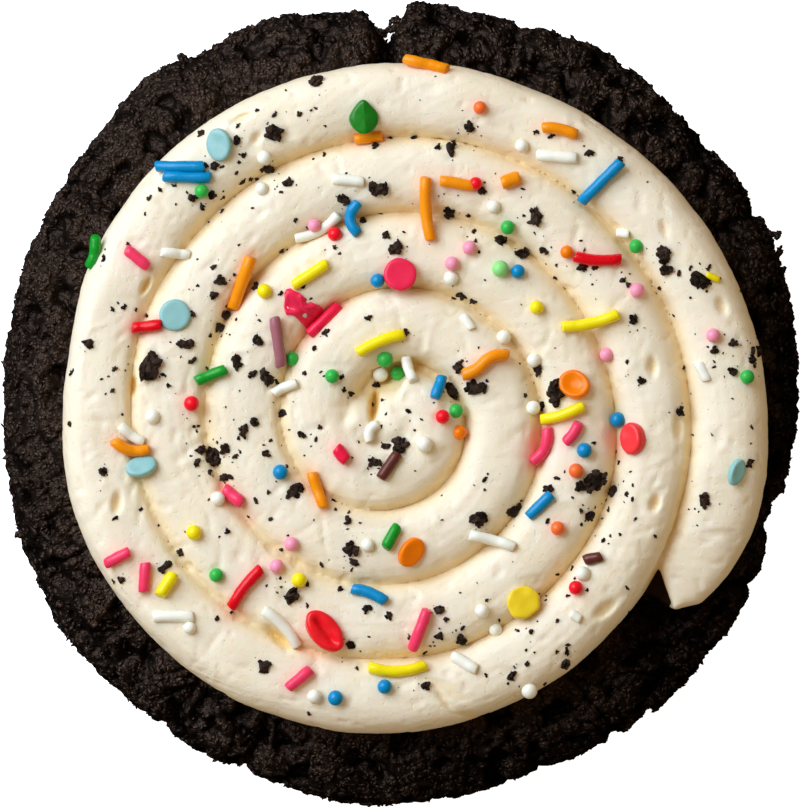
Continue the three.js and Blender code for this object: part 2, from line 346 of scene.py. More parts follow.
@dataclass(frozen=True)
class CreamFinish(Finish):
    """Whipped ivory cream that light soaks into, with painted warm shade: darker and yellower in the creases
    between the ropes, on their low flanks and in the pits.
    """

    pale: Colour = linear(250, 233, 200)
    warm: Colour = linear(248, 228, 187)
    # deep is painted shade: the darker yellow that the creases, low flanks and pits are given.
    deep: Colour = linear(242, 205, 124)
    cloud: float = 6.0
    fine: float = 0.7
    pore: float = 0.5
    relief: float = 0.1
    soak: float = 1.5

    def sockets(self, graph: Graph) -> dict:
        """Clouds the cream, paints warm shade into its creases, low flanks and pits, and adds the soaked
        colours and the pores.
        """
        hollow_and_shade = Value(graph, graph.attribute("hollow_and_shade").outputs["Fac"])
        dye = graph.attribute("dye")
        cloud = graph.grain(self.cloud, 3.0, 0.55)
        fine = graph.grain(self.fine, 3.0, 0.6)
        pores = graph.grain(self.pore, 1.0, 0.5).between(0.6, 0.78)
        colour = graph.mix(cloud.between(0.3, 0.75) * 0.5, self.pale, self.warm)
        # Painted shade: the kept amount mixes in the darker, yellower deep colour.
        colour = graph.mix(hollow_and_shade, colour, self.deep)
        colour = graph.mix(Value(graph, dye.outputs["Alpha"]), colour, dye.outputs["Color"], "MULTIPLY")
        return {
            "Base Color": colour,
            "Roughness": 0.42 + 0.2 * fine,
            "Specular IOR Level": 0.3,
            "Subsurface Weight": 0.3,
            "Subsurface Radius": (1.0, 0.65, 0.35),
            "Subsurface Scale": self.soak * MM,
            "Normal": graph.bump(fine * 0.6 + cloud * 0.4 - pores * 0.5, self.relief, 0.8),
        }


@dataclass(frozen=True)
class SugarFinish(Finish):
    """Coloured sugar paste with a low gloss and a faint mottle."""

    mottle: float = 0.8
    mottled: Colour = (0.75, 0.72, 0.70, 1.0)
    glint: Colour = (1.0, 0.83, 0.65, 1.0)
    relief: float = 0.05
    soak: float = 0.6

    def sockets(self, graph: Graph) -> dict:
        """Mottles the coat."""
        coat = graph.attribute("coat").outputs["Color"]
        mottle = graph.grain(self.mottle, 3.0, 0.6)
        return {
            "Base Color": graph.mix(mottle.between(0.35, 0.7) * 0.16, coat, self.mottled, "MULTIPLY"),
            "Roughness": 0.2 + 0.16 * mottle,
            "Specular IOR Level": 0.36,
            "Specular Tint": self.glint,
            "Subsurface Weight": 0.1,
            "Subsurface Radius": (1.0, 0.8, 0.6),
            "Subsurface Scale": self.soak * MM,
            "Normal": graph.bump(mottle, self.relief, 0.6),
        }


@dataclass(frozen=True)
class FloorFinish(Finish):
    """A plain pale floor, lit a little from inside as a light table is."""

    colour: Colour = (0.9, 0.9, 0.9, 1.0)
    light: Colour = (1.0, 1.0, 1.0, 1.0)
    glow: float = 1.05

    def sockets(self, graph: Graph) -> dict:
        """Sets the plain inputs."""
        return {
            "Base Color": self.colour,
            "Roughness": 0.9,
            "Specular IOR Level": 0.1,
            "Emission Color": self.light,
            "Emission Strength": self.glow,
        }


class Workbench:
    """Blender steps that every piece shares."""

    @staticmethod
    def clear() -> None:
        """Leaves edit mode and deselects everything."""
        if bpy.context.mode != "OBJECT":
            bpy.ops.object.mode_set(mode="OBJECT")
        bpy.ops.object.select_all(action="DESELECT")

    @staticmethod
    def pick(piece: bpy.types.Object) -> None:
        """Selects one piece alone."""
        Workbench.clear()
        piece.select_set(True)
        bpy.context.view_layer.objects.active = piece

    @staticmethod
    def edit(piece: bpy.types.Object) -> None:
        """Opens one piece in edit mode with all of it selected."""
        Workbench.pick(piece)
        bpy.ops.object.mode_set(mode="EDIT")
        bpy.ops.mesh.select_all(action="SELECT")

    @staticmethod
    def close() -> None:
        """Turns all faces of the open piece outwards and leaves edit mode."""
        bpy.ops.mesh.select_all(action="SELECT")
        bpy.ops.mesh.normals_make_consistent(inside=False)
        bpy.ops.object.mode_set(mode="OBJECT")

    @staticmethod
    def added(name: str) -> bpy.types.Object:
        """Names the primitive that was just added, with its place put in its mesh."""
        piece = bpy.context.active_object
        piece.name = name
        piece.data.name = name
        bpy.ops.object.transform_apply(location=True, rotation=True, scale=True)
        return piece

    @staticmethod
    def finish(piece: bpy.types.Object, kind: str, **settings: object) -> None:
        """Adds a modifier to a piece and applies it.

        Args:
            piece: The piece.
            kind: The modifier's type.
            **settings: Its settings.
        """
        Workbench.pick(piece)
        modifier = piece.modifiers.new(kind.title(), kind)
        for name, value in settings.items():
            setattr(modifier, name, value)
        bpy.ops.object.modifier_apply(modifier=modifier.name)

    @staticmethod
    def read(items: bpy.types.bpy_prop_collection, name: str, kind: type = np.float32) -> np.ndarray:
        """Reads one number of every point, face or corner of a mesh."""
        found = np.empty(len(items), kind)
        items.foreach_get(name, found)
        return found

    @staticmethod
    def rows(items: bpy.types.bpy_prop_collection, name: str) -> np.ndarray:
        """Reads one vector of every point or face of a mesh."""
        found = np.empty(len(items) * 3, np.float32)
        items.foreach_get(name, found)
        return found.reshape(-1, 3).astype(float)

    @staticmethod
    def points(piece: bpy.types.Object) -> np.ndarray:
        """The mesh's points in millimetres."""
        return Workbench.rows(piece.data.vertices, "co") / MM

    @staticmethod
    def move(piece: bpy.types.Object, points: np.ndarray) -> None:
        """Sets the mesh's points, given in millimetres."""
        piece.data.vertices.foreach_set("co", (points * MM).astype(np.float32).ravel())
        piece.data.update()

    @staticmethod
    def keep_value(piece: bpy.types.Object, name: str, values: np.ndarray) -> None:
        """Keeps one number for each point on the mesh."""
        made = piece.data.attributes.new(name, "FLOAT", "POINT")
        made.data.foreach_set("value", values.astype(np.float32))

    @staticmethod
    def keep_colour(piece: bpy.types.Object, name: str, colours: np.ndarray) -> None:
        """Keeps one colour for each point on the mesh."""
        made = piece.data.attributes.new(name, "FLOAT_COLOR", "POINT")
        made.data.foreach_set("color", colours.astype(np.float32).ravel())

    @staticmethod
    def dress(piece: bpy.types.Object, material: bpy.types.Material, slot: str, soft: bool = True) -> None:
        """Gives a piece its material and shading, and ties it to the cookie.

        Args:
            piece: The piece.
            material: Its material.
            slot: Not used.
            soft: Whether its faces are shaded as one smooth skin.
        """
        piece.data.materials.clear()
        piece.data.materials.append(material)
        piece.data.polygons.foreach_set("use_smooth", [soft] * len(piece.data.polygons))
        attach(piece, "root")
        LOG.info("%s: %d faces", piece.name, len(piece.data.polygons))

    @staticmethod
    def template(piece: bpy.types.Object) -> Shape:
        """Takes a modelled shape as points and faces and removes its object."""
        points = Workbench.points(piece) * MM
        faces = [tuple(face.vertices) for face in piece.data.polygons]
        bpy.data.objects.remove(piece)
        return points, faces


class Pile:
    """Collects copies of small shapes into one mesh."""

    def __init__(self) -> None:
        """Starts empty."""
        self.points: list[np.ndarray] = []
        self.faces: list[tuple[int, ...]] = []
        self.colours: list[np.ndarray] = []
        self.count = 0

    def add(self, points: np.ndarray, faces: Iterable[Sequence[int]], colour: Sequence[float]) -> None:
        """Adds one copy of a shape, in one linear colour."""
        self.add_many(points[None], faces, np.array([colour], float))

    def add_many(self, points: np.ndarray, faces: Iterable[Sequence[int]], colours: np.ndarray) -> None:
        """Adds many copies of one shape.

        Args:
            points: Points in millimetres, by copy and by point of the shape.
            faces: The shape's faces.
            colours: One linear colour for each copy.
        """
        corners = points.shape[1]
        for copy in range(len(points)):
            first = self.count + copy * corners
            self.faces.extend(tuple(corner + first for corner in face) for face in faces)
        self.points.append(points.reshape(-1, 3))
        self.colours.append(np.repeat(colours, corners, axis=0))
        self.count += len(points) * corners

    def piece(self, name: str, attribute: str) -> bpy.types.Object:
        """Makes the mesh.

        Args:
            name: The piece's name.
            attribute: The name its colours are kept under.

        Returns:
            The piece.
        """
        mesh = bpy.data.meshes.new(name)
        mesh.from_pydata((np.concatenate(self.points) * MM).tolist(), [], self.faces)
        mesh.update()
        made = bpy.data.objects.new(name, mesh)
        bpy.context.scene.collection.objects.link(made)
        Workbench.keep_colour(made, attribute, np.concatenate(self.colours))
        return made


@dataclass(frozen=True)
class Lobe:
    """A bulge or a dent of an outline: where it is in degrees, its height and its half width in degrees."""

    angle: float
    rise: float
    half: float


@dataclass
class Swirl:
    """The line that the cream is piped along, and the sizes of its rope. Angles are in degrees."""

    x: float = -1.15
    y: float = -1.94
    pitch: float = 10.72
    start_radius: float = 48.0
    half: float = 5.7
    height: float = 8.6
    waist: float = 3.0
    squareness: float = 2.6
    tail: float = -34.5
    tail_inner: float = -29.0
    tail_full: float = -9.0
    tail_blunt: float = 0.36
    heart: float = 1565.0
    heart_round: float = 1470.0
    heart_radius: float = 7.4
    floor: float = 17.3
    sink: float = 1.0
    smear_angle: float = 212.0
    edge_inset: float = 0.4
    edge: tuple[Lobe, ...] = (Lobe(-20, 1.2, 12), Lobe(12, 0.4, 16), Lobe(60, -0.2, 20), Lobe(170, -1.2, 16))
    edge_fade: float = 345.0
    no_crease: float = 9.0

    def ridge(self, angle: np.ndarray) -> np.ndarray:
        """Radius of the ridge at an angle along the rope."""
        return self.start_radius - self.pitch * np.asarray(angle, float) / 360.0

    def wind(self, angle: np.ndarray, radius: np.ndarray) -> tuple[np.ndarray, np.ndarray]:
        """Places in plan at an angle and a radius around the middle of the spiral."""
        turn = np.radians(angle)
        return self.x + radius * np.cos(turn), self.y + radius * np.sin(turn)

    def first_turn(self, x: np.ndarray, y: np.ndarray) -> np.ndarray:
        """Angle along the rope of the outermost turn in a point's direction."""
        degrees = np.degrees(np.arctan2(y - self.y, x - self.x))
        return np.where(degrees < self.tail, degrees + 360.0, degrees)

    def taper(self, angle: np.ndarray) -> tuple[np.ndarray, np.ndarray, np.ndarray]:
        """Shares of the rope's full size.

        Args:
            angle: Angles along the rope.

        Returns:
            The shares of its outer half, its inner half and its height.
        """
        angle = np.asarray(angle, float)
        outer = np.clip((angle - self.tail) / (self.tail_full - self.tail), 0.0, 1.0)
        inner = np.clip((angle - self.tail) / (self.tail_inner - self.tail), 0.0, 1.0)
        start = np.clip((self.heart - angle) / (self.heart - self.heart_round), 0.0, 1.0)
        rounded = np.sqrt(1.0 - (1.0 - start) ** 2)
        height = (0.45 + 0.55 * outer) * (0.55 + 0.45 * rounded)
        return outer**self.tail_blunt * rounded, inner * rounded, height

    def edge_shift(self, angle: np.ndarray) -> np.ndarray:
        """How far the free edge of the outer turn lies outside its plain line, at angles along it."""
        shift = np.full_like(angle, -self.edge_inset)
        for lobe in self.edge:
            shift += lobe.rise * np.exp(-(((angle - lobe.angle) / lobe.half) ** 2))
        return shift * self.open_edge(angle)

    def open_edge(self, angle: np.ndarray) -> np.ndarray:
        """Fades to 0 where the outer turn's edge runs in under the tail."""
        return 1.0 - smooth(self.tail + self.edge_fade, self.tail + 360.0, angle)

    def merged(self, angle: np.ndarray) -> np.ndarray:
        """How far neighbouring turns are smeared into each other in a direction, most at the lower left."""
        return smooth(0.2, 0.95, np.cos(np.radians(angle - self.smear_angle)))

    def crease_side(self, x: np.ndarray, y: np.ndarray) -> np.ndarray:
        """Distance in plan inwards from the nearest crease between two turns, or no_crease without one."""
        radius = np.hypot(x - self.x, y - self.y)
        turns = (self.start_radius - radius) / self.pitch - self.first_turn(x, y) / 360.0
        side = (turns % 1.0 - 0.5) * self.pitch
        return np.where((turns < 0.0) | (radius < self.heart_radius), self.no_crease, side)

    def cover(self, x: np.ndarray, y: np.ndarray) -> np.ndarray:
        """How far points lie inside the edge of the cream."""
        angle = self.first_turn(x, y)
        outer, _, _ = self.taper(angle)
        reach = self.ridge(angle) + self.half * outer + self.edge_shift(angle)
        return reach - np.hypot(x - self.x, y - self.y)


@dataclass
class Ground:
    """The cream's finished surface, as something to set sprinkles and crumbs on."""

    tree: BVHTree
    above: float = 80.0

    @classmethod
    def of(cls, piece: bpy.types.Object) -> "Ground":
        """The finished surface of a piece."""
        points = [vertex.co.copy() for vertex in piece.data.vertices]
        faces = [tuple(face.vertices) for face in piece.data.polygons]
        return cls(BVHTree.FromPolygons(points, faces))

    def hit(self, x: float, y: float) -> tuple[Vector | None, Vector | None]:
        """Place and outward direction where a line straight down meets the cream."""
        return self.tree.ray_cast(Vector((x * MM, y * MM, self.above * MM)), DOWN)[:2]

    def height(self, x: float, y: float) -> float | None:
        """Height of the cream over a point in plan, or None beside it."""
        place, _ = self.hit(x, y)
        return None if place is None else place.z / MM

    def lean(self, x: float, y: float) -> Vector:
        """The outward direction of the cream over a point in plan."""
        place, outward = self.hit(x, y)
        return UP.copy() if place is None else outward.normalized()


@dataclass(frozen=True)
class Crack:
    """A crack in the cookie's edge: where it is and its half width in degrees, its depth and its cleft's."""

    angle: float
    depth: float
    half: float
    cleft: float


@dataclass
class CookieBase:
    """The thick baked cookie under the cream."""

    swirl: Swirl
    finish: CookieFinish = CookieFinish()
    radius: float = 57.25
    height: float = 17.0
    belly: float = 7.0
    foot_inset: float = 3.2
    crown: float = 46.7
    dense_from: float = 43.5
    step: float = 0.4
    sides: int = 1000
    under_rings: tuple[float, ...] = (0.0, 14.0, 28.0, 40.0, 47.0, 51.0)
    foot_steps: int = 15
    shoulder_steps: int = 46
    top_rings: tuple[float, ...] = (34.0, 20.0, 0.0)
    edge_band: Range = (42.0, 53.0)
    lobes: tuple[Lobe, ...] = (
        Lobe(26, 1.2, 13),
        Lobe(28, -0.8, 2.5),
        Lobe(57, 1.2, 12),
        Lobe(85, 0.4, 5),
        Lobe(98, -0.7, 3),
        Lobe(109, 0.9, 7),
        Lobe(128, 1.7, 9.5),
        Lobe(145, 0.7, 9),
        Lobe(181, -0.5, 6),
        Lobe(212, 1.2, 13),
        Lobe(240, 0.7, 4),
        Lobe(263, 0.6, 7),
        Lobe(291, -0.9, 10),
        Lobe(341, -0.7, 3.5),
        Lobe(345, -1.1, 9),
    )
    cracks: tuple[Crack, ...] = (
        Crack(91.9, 5.9, 3.8, 4.6),
        Crack(234, 1.1, 2.0, 1.4),
        Crack(247, 1.8, 2.6, 2.0),
        Crack(345, 1.0, 2.2, 1.6),
        Crack(147, 0.5, 1.6, 1.6),
        Crack(72, 0.6, 1.8, 1.2),
        Crack(205, 0.3, 1.2, 1.0),
        Crack(303, 0.5, 1.4, 1.2),
    )
    cleft_share: float = 0.32
    # The notch: a dent beside the tail that also paints shade through the crust's tone.
    notch: Range = (37.1, -31.6)
    notch_wide: float = 4.5
    notch_deep: float = 2.4
    wander: Ripple = Ripple(0.9, 5.0, 3.0)
    bends: tuple[Ripple, ...] = (Ripple(0.8, 2.2, 11.0), Ripple(0.8, 2.2, 23.0), Ripple(0.8, 2.2, 37.0))
    lumps: tuple[Ripple, ...] = (Ripple(0.7, 8.0, 2.0), Ripple(0.5, 3.4, 29.0))
    caves: Ripple = Ripple(-1.7, 3.8, 51.0)
    cave_band: Range = (0.08, 0.45)
    coarse_crinkle: Ripple = Ripple(0.7, 1.7, 9.0)
    fine_crinkle: Ripple = Ripple(0.5, 0.9, 17.0)
    cell_size: float = 5.0
    cell_shift: float = 5.0
    cleft_deep: float = 0.6
    cleft_wide: float = 0.16

    def profile(self) -> list[Range]:
        """Radius and height of points from the middle of the underside to the middle of the top."""
        rim = self.radius - self.foot_inset
        points = [(ring, 0.0) for ring in self.under_rings]
        for turn in np.radians(np.linspace(-90.0, 0.0, self.foot_steps)):
            points.append((rim + self.foot_inset * math.cos(turn), self.belly * (1.0 + math.sin(turn))))
        inset = self.radius - self.crown
        rise = self.height - self.belly
        for turn in np.radians(np.linspace(0.0, 90.0, self.shoulder_steps)[1:]):
            points.append((self.crown + inset * math.cos(turn), self.belly + rise * math.sin(turn)))
        for radius in np.arange(self.crown - self.step, self.dense_from, -self.step):
            points.append((float(radius), self.height))
        return points + [(ring, self.height) for ring in self.top_rings]

    def outline(self, degrees: np.ndarray) -> np.ndarray:
        """Radius added to the round outline at each direction."""
        added = np.zeros_like(degrees)
        for lobe in self.lobes:
            added += lobe.rise * np.exp(-((apart(degrees, lobe.angle) / lobe.half) ** 2))
        return added

    def lathe(self) -> bpy.types.Object:
        """Spins the profile into a closed body."""
        Workbench.clear()
        bpy.ops.mesh.primitive_plane_add(size=2 * MM, location=(0, 0, 0))
        piece = Workbench.added("cookie")
        Workbench.edit(piece)
        bpy.ops.mesh.merge(type="CENTER")
        points = self.profile()
        for before, after in zip(points, points[1:]):
            step = ((after[0] - before[0]) * MM, 0.0, (after[1] - before[1]) * MM)
            bpy.ops.mesh.extrude_vertices_move(TRANSFORM_OT_translate={"value": step})
        bpy.ops.mesh.select_all(action="SELECT")
        bpy.ops.mesh.spin(steps=self.sides, angle=math.tau, center=(0, 0, 0), axis=(0, 0, 1))
        bpy.ops.mesh.select_all(action="SELECT")
        bpy.ops.mesh.remove_doubles(threshold=0.002 * MM)
        Workbench.close()
        return piece

    def shape(self, piece: bpy.types.Object) -> None:
        """Pushes the round body out to its real outline and opens its cracks.

        Args:
            piece: The round body.
        """
        points = Workbench.points(piece)
        radius = np.hypot(points[:, 0], points[:, 1])
        degrees = np.degrees(np.arctan2(points[:, 1], points[:, 0])) % 360.0
        outer = smooth(*self.edge_band, radius)
        grown = radius + self.outline(degrees) * outer
        wander = self.wander.at(points * np.array([1.0, 1.0, 0.4]))
        upper = smooth(self.belly - 3.0, self.belly + 3.0, points[:, 2])
        sunk = np.zeros_like(radius)
        for crack in self.cracks:
            away = apart(degrees + wander, crack.angle)
            grown -= crack.depth * outer * np.clip(1.0 - away / crack.half, 0.0, 1.0) ** 1.3
            sunk += crack.cleft * outer * upper * np.exp(-((away / (self.cleft_share * crack.half)) ** 2))
        scale = grown / np.maximum(radius, 1e-6)
        points[:, 0] *= scale
        points[:, 1] *= scale
        points[:, 2] -= sunk
        Workbench.move(piece, points)

    def roughen(self, piece: bpy.types.Object) -> None:
        """Raises the lumps, crevices and crumbs of the baked crust where no cream covers it, and keeps the
        relief as the crust's tone, which paints shade: darker in the caves and clefts, lighter on the lumps.

        Args:
            piece: The cookie.
        """
        points = Workbench.points(piece)
        normals = Workbench.rows(piece.data.vertices, "normal")
        bare = 1.0 - smooth(0.4, 2.4, self.swirl.cover(points[:, 0], points[:, 1]))
        bare *= smooth(0.1, 2.5, points[:, 2])
        shown = np.nonzero(bare > 0.0)[0]
        spots = points[shown]
        bent = spots + np.stack([bend.at(spots) for bend in self.bends], axis=1)
        near, far = cells(bent, self.cell_size, self.cell_shift)
        lumps = sum(lump.at(spots) for lump in self.lumps)
        caves = self.caves.spots(bent, self.cave_band)
        # The notch beside the tail is sunk, and through the tone also painted dark: painted shade where the
        # tail shades the crust.
        beside = np.hypot(spots[:, 0] - self.notch[0], spots[:, 1] - self.notch[1])
        caves -= self.notch_deep * np.exp(-((beside / self.notch_wide) ** 2)) * (spots[:, 2] > self.belly)
        clefts = -self.cleft_deep * (1.0 - smooth(0.0, self.cleft_wide, far - near))
        crinkles = self.coarse_crinkle.folds(bent) + self.fine_crinkle.folds(spots)
        relief = np.zeros(len(points))
        relief[shown] = bare[shown] * (lumps + caves + clefts + crinkles)
        points += normals * np.array([0.6, 0.6, 1.0]) * relief[:, None]
        points[:, 2] = np.maximum(points[:, 2], 0.0)
        Workbench.move(piece, points)
        # Painted shade: the kept tone follows the relief, dark where the crust sinks and light where it
        # rises.
        Workbench.keep_value(piece, "crag", np.clip(0.55 + 0.42 * relief, 0.0, 1.0))

    def build(self) -> bpy.types.Object:
        """Builds the cookie, dresses it and returns it."""
        piece = self.lathe()
        self.shape(piece)
        self.roughen(piece)
        Workbench.dress(piece, self.finish.material("dark_cookie"), "dark_cookie")
        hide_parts("cookie_base")
        return piece


@dataclass(frozen=True)
class Nib:
    """A ragged clump that sticks out of the cookie's edge: its root and tip in plan, height and thickness."""

    x1: float
    y1: float
    x2: float
    y2: float
    height: float
    thick: float


@dataclass
class Shreds:
    """The ragged shreds of crumb that make up the cookie's bare crust, and the nibs of its edge."""

    cookie: bpy.types.Object
    swirl: Swirl
    # A lighter copy of the crust's finish: the bare crust between and under the shreds reads darker, which is
    # painted shade.
    finish: CookieFinish = CookieFinish(light=(0.0300, 0.0180, 0.0110, 1.0), sheen=0.7)
    count: int = 9000
    sliver: tuple[Range, ...] = ((0.7, 1.8), (0.4, 0.75), (0.3, 0.55))
    jitter: float = 0.06
    lift: float = 0.1
    tilt: float = 0.24
    ragged: Range = (0.6, 1.3)
    shade: Range = (0.4, 1.1)
    nib_parts: int = 64
    nib_bit: tuple[Range, ...] = ((0.7, 1.0), (0.55, 0.85), (0.5, 0.8))
    nib_tone: float = 0.7
    nibs: tuple[Nib, ...] = (
        Nib(50.4, 25.4, 51.8, 26.3, 8.0, 1.5),
        Nib(52.0, 24.3, 54.4, 24.2, 8.0, 0.9),
        Nib(53.9, 20.6, 54.6, 22.3, 8.0, 0.6),
        Nib(54.4, 18.8, 55.0, 19.2, 8.0, 0.8),
        Nib(0.6, 54.8, -1.1, 55.0, 9.0, 1.1),
        Nib(-0.4, 54.0, -1.6, 53.6, 9.0, 0.8),
        Nib(-3.2, 53.4, -2.1, 52.9, 9.0, 0.8),
        Nib(-6.6, 55.4, -6.6, 56.1, 8.0, 0.7),
        Nib(-31.0, 49.2, -31.4, 49.8, 8.0, 0.8),
        Nib(-54.2, -18.6, -54.9, -18.9, 8.0, 0.8),
        Nib(36.2, -43.2, 36.7, -43.9, 8.0, 0.8),
    )

    def spots(self, draw: np.random.Generator) -> tuple[np.ndarray, np.ndarray, np.ndarray]:
        """Picks places on the bare crust.

        Args:
            draw: The random draw.

        Returns:
            The places in millimetres, and the crust's outward directions and tones there.
        """
        mesh = self.cookie.data
        middles = Workbench.rows(mesh.polygons, "center") / MM
        outward = Workbench.rows(mesh.polygons, "normal")
        areas = Workbench.read(mesh.polygons, "area")
        starts = Workbench.read(mesh.polygons, "loop_start", np.int32)
        corners = Workbench.read(mesh.loops, "vertex_index", np.int32)
        tone_and_shade = Workbench.read(mesh.attributes["crag"].data, "value")
        bare = (self.swirl.cover(middles[:, 0], middles[:, 1]) < -0.1) & (middles[:, 2] > 1.0)
        facing = 0.3 + 0.7 * np.clip(outward[:, 2] + 0.2, 0.0, 1.0)
        tone = tone_and_shade[corners[starts]]
        weight = areas * bare * facing * (0.15 + tone) ** 1.5
        chosen = draw.choice(len(middles), self.count, p=weight / weight.sum())
        lift = self.lift * np.clip(outward[chosen, 2:], 0.0, 1.0) - self.lift
        places = middles[chosen] + draw.normal(0.0, self.jitter, (self.count, 3)) + lift * outward[chosen]
        return places, outward[chosen], tone[chosen]

    def lay(
        self,
        shape: Shape,
        places: np.ndarray,
        outward: np.ndarray,
        tones: np.ndarray,
        sizes: tuple[Range, ...],
        draw: np.random.Generator,
        pile: Pile,
    ) -> None:
        """Lays ragged slivers at places, along the crust but tilted a little.

        Args:
            shape: A lump of diameter 1.
            places: Where the slivers lie.
            outward: The way out of the crust at each place.
            tones: The lightest tone of a sliver at each place.
            sizes: Least and most length, width and depth of a sliver.
            draw: The random draw.
            pile: Where they are added.
        """
        base, faces = shape
        count = len(places)
        along = np.cross(outward, draw.normal(0.0, 1.0, (count, 3)))
        along /= np.linalg.norm(along, axis=1)[:, None]
        side = np.cross(outward, along)
        tilt = draw.normal(0.0, self.tilt, count)[:, None]
        ahead = along * np.cos(tilt) + outward * np.sin(tilt)
        above = outward * np.cos(tilt) - along * np.sin(tilt)
        long, wide, deep = (draw.uniform(*size, count)[:, None] for size in sizes)
        axes = np.stack([ahead * long, side * wide, above * deep], axis=1)
        ragged = base * draw.uniform(*self.ragged, (count, len(base), 1))
        points = np.einsum("nki,nij->nkj", ragged, axes) + places[:, None]
        grey = np.clip(tones * draw.uniform(*self.shade, count), 0.0, 1.0)
        pile.add_many(points, faces, np.column_stack([grey, grey, grey, np.ones(count)]))

    def stick(self, shape: Shape, draw: np.random.Generator, pile: Pile) -> None:
        """Builds the nibs of the cookie's edge from slivers.

        Args:
            shape: A lump of diameter 1.
            draw: The random draw.
            pile: Where they are added.
        """
        upright = np.tile(np.array(UP), (self.nib_parts, 1))
        tones = np.full(self.nib_parts, self.nib_tone)
        for nib in self.nibs:
            root = np.array([nib.x1, nib.y1, nib.height])
            way = np.array([nib.x2 - nib.x1, nib.y2 - nib.y1, 0.0])
            spread = np.clip(draw.normal(0.0, 0.25, (self.nib_parts, 3)), -0.4, 0.4) * nib.thick
            places = root + draw.uniform(-0.3, 1.0, (self.nib_parts, 1)) * way + spread
            self.lay(shape, places, upright, tones, self.nib_bit, draw, pile)

    def build(self) -> None:
        """Builds the shreds as one piece and dresses it."""
        draw = np.random.default_rng(SEED)
        pile = Pile()
        Workbench.clear()
        bpy.ops.mesh.primitive_uv_sphere_add(segments=5, ring_count=3, radius=0.5)
        lump = Workbench.template(Workbench.added("sliver"))
        places, outward, tone = self.spots(draw)
        # The slivers take the crust's tone there, so they carry its painted crevice shade, with random tone
        # on top.
        self.lay(lump, places, outward, 0.25 + 0.9 * tone, self.sliver, draw, pile)
        self.stick(lump, draw, pile)
        piece = pile.piece("cookie_shreds", "crag")
        Workbench.dress(piece, self.finish.material("dark_shred"), "dark_cookie")


@dataclass(frozen=True)
class Pit:
    """A hollow in the cream: place in plan, length, width, direction, depth and sharpness of its edge."""

    x: float
    y: float
    long: float
    short: float
    turn: float
    depth: float
    edge: float = 1.8


@dataclass(frozen=True)
class Dome:
    """A low dome of cream that fills the middle of the spiral."""

    x: float
    y: float
    radius: float
    height: float


@dataclass(frozen=True)
class Stain:
    """Colour that has soaked out of a sprinkle into the cream beside it."""

    start: Range
    end: Range
    coat: Coat
    reach: float
    strength: float


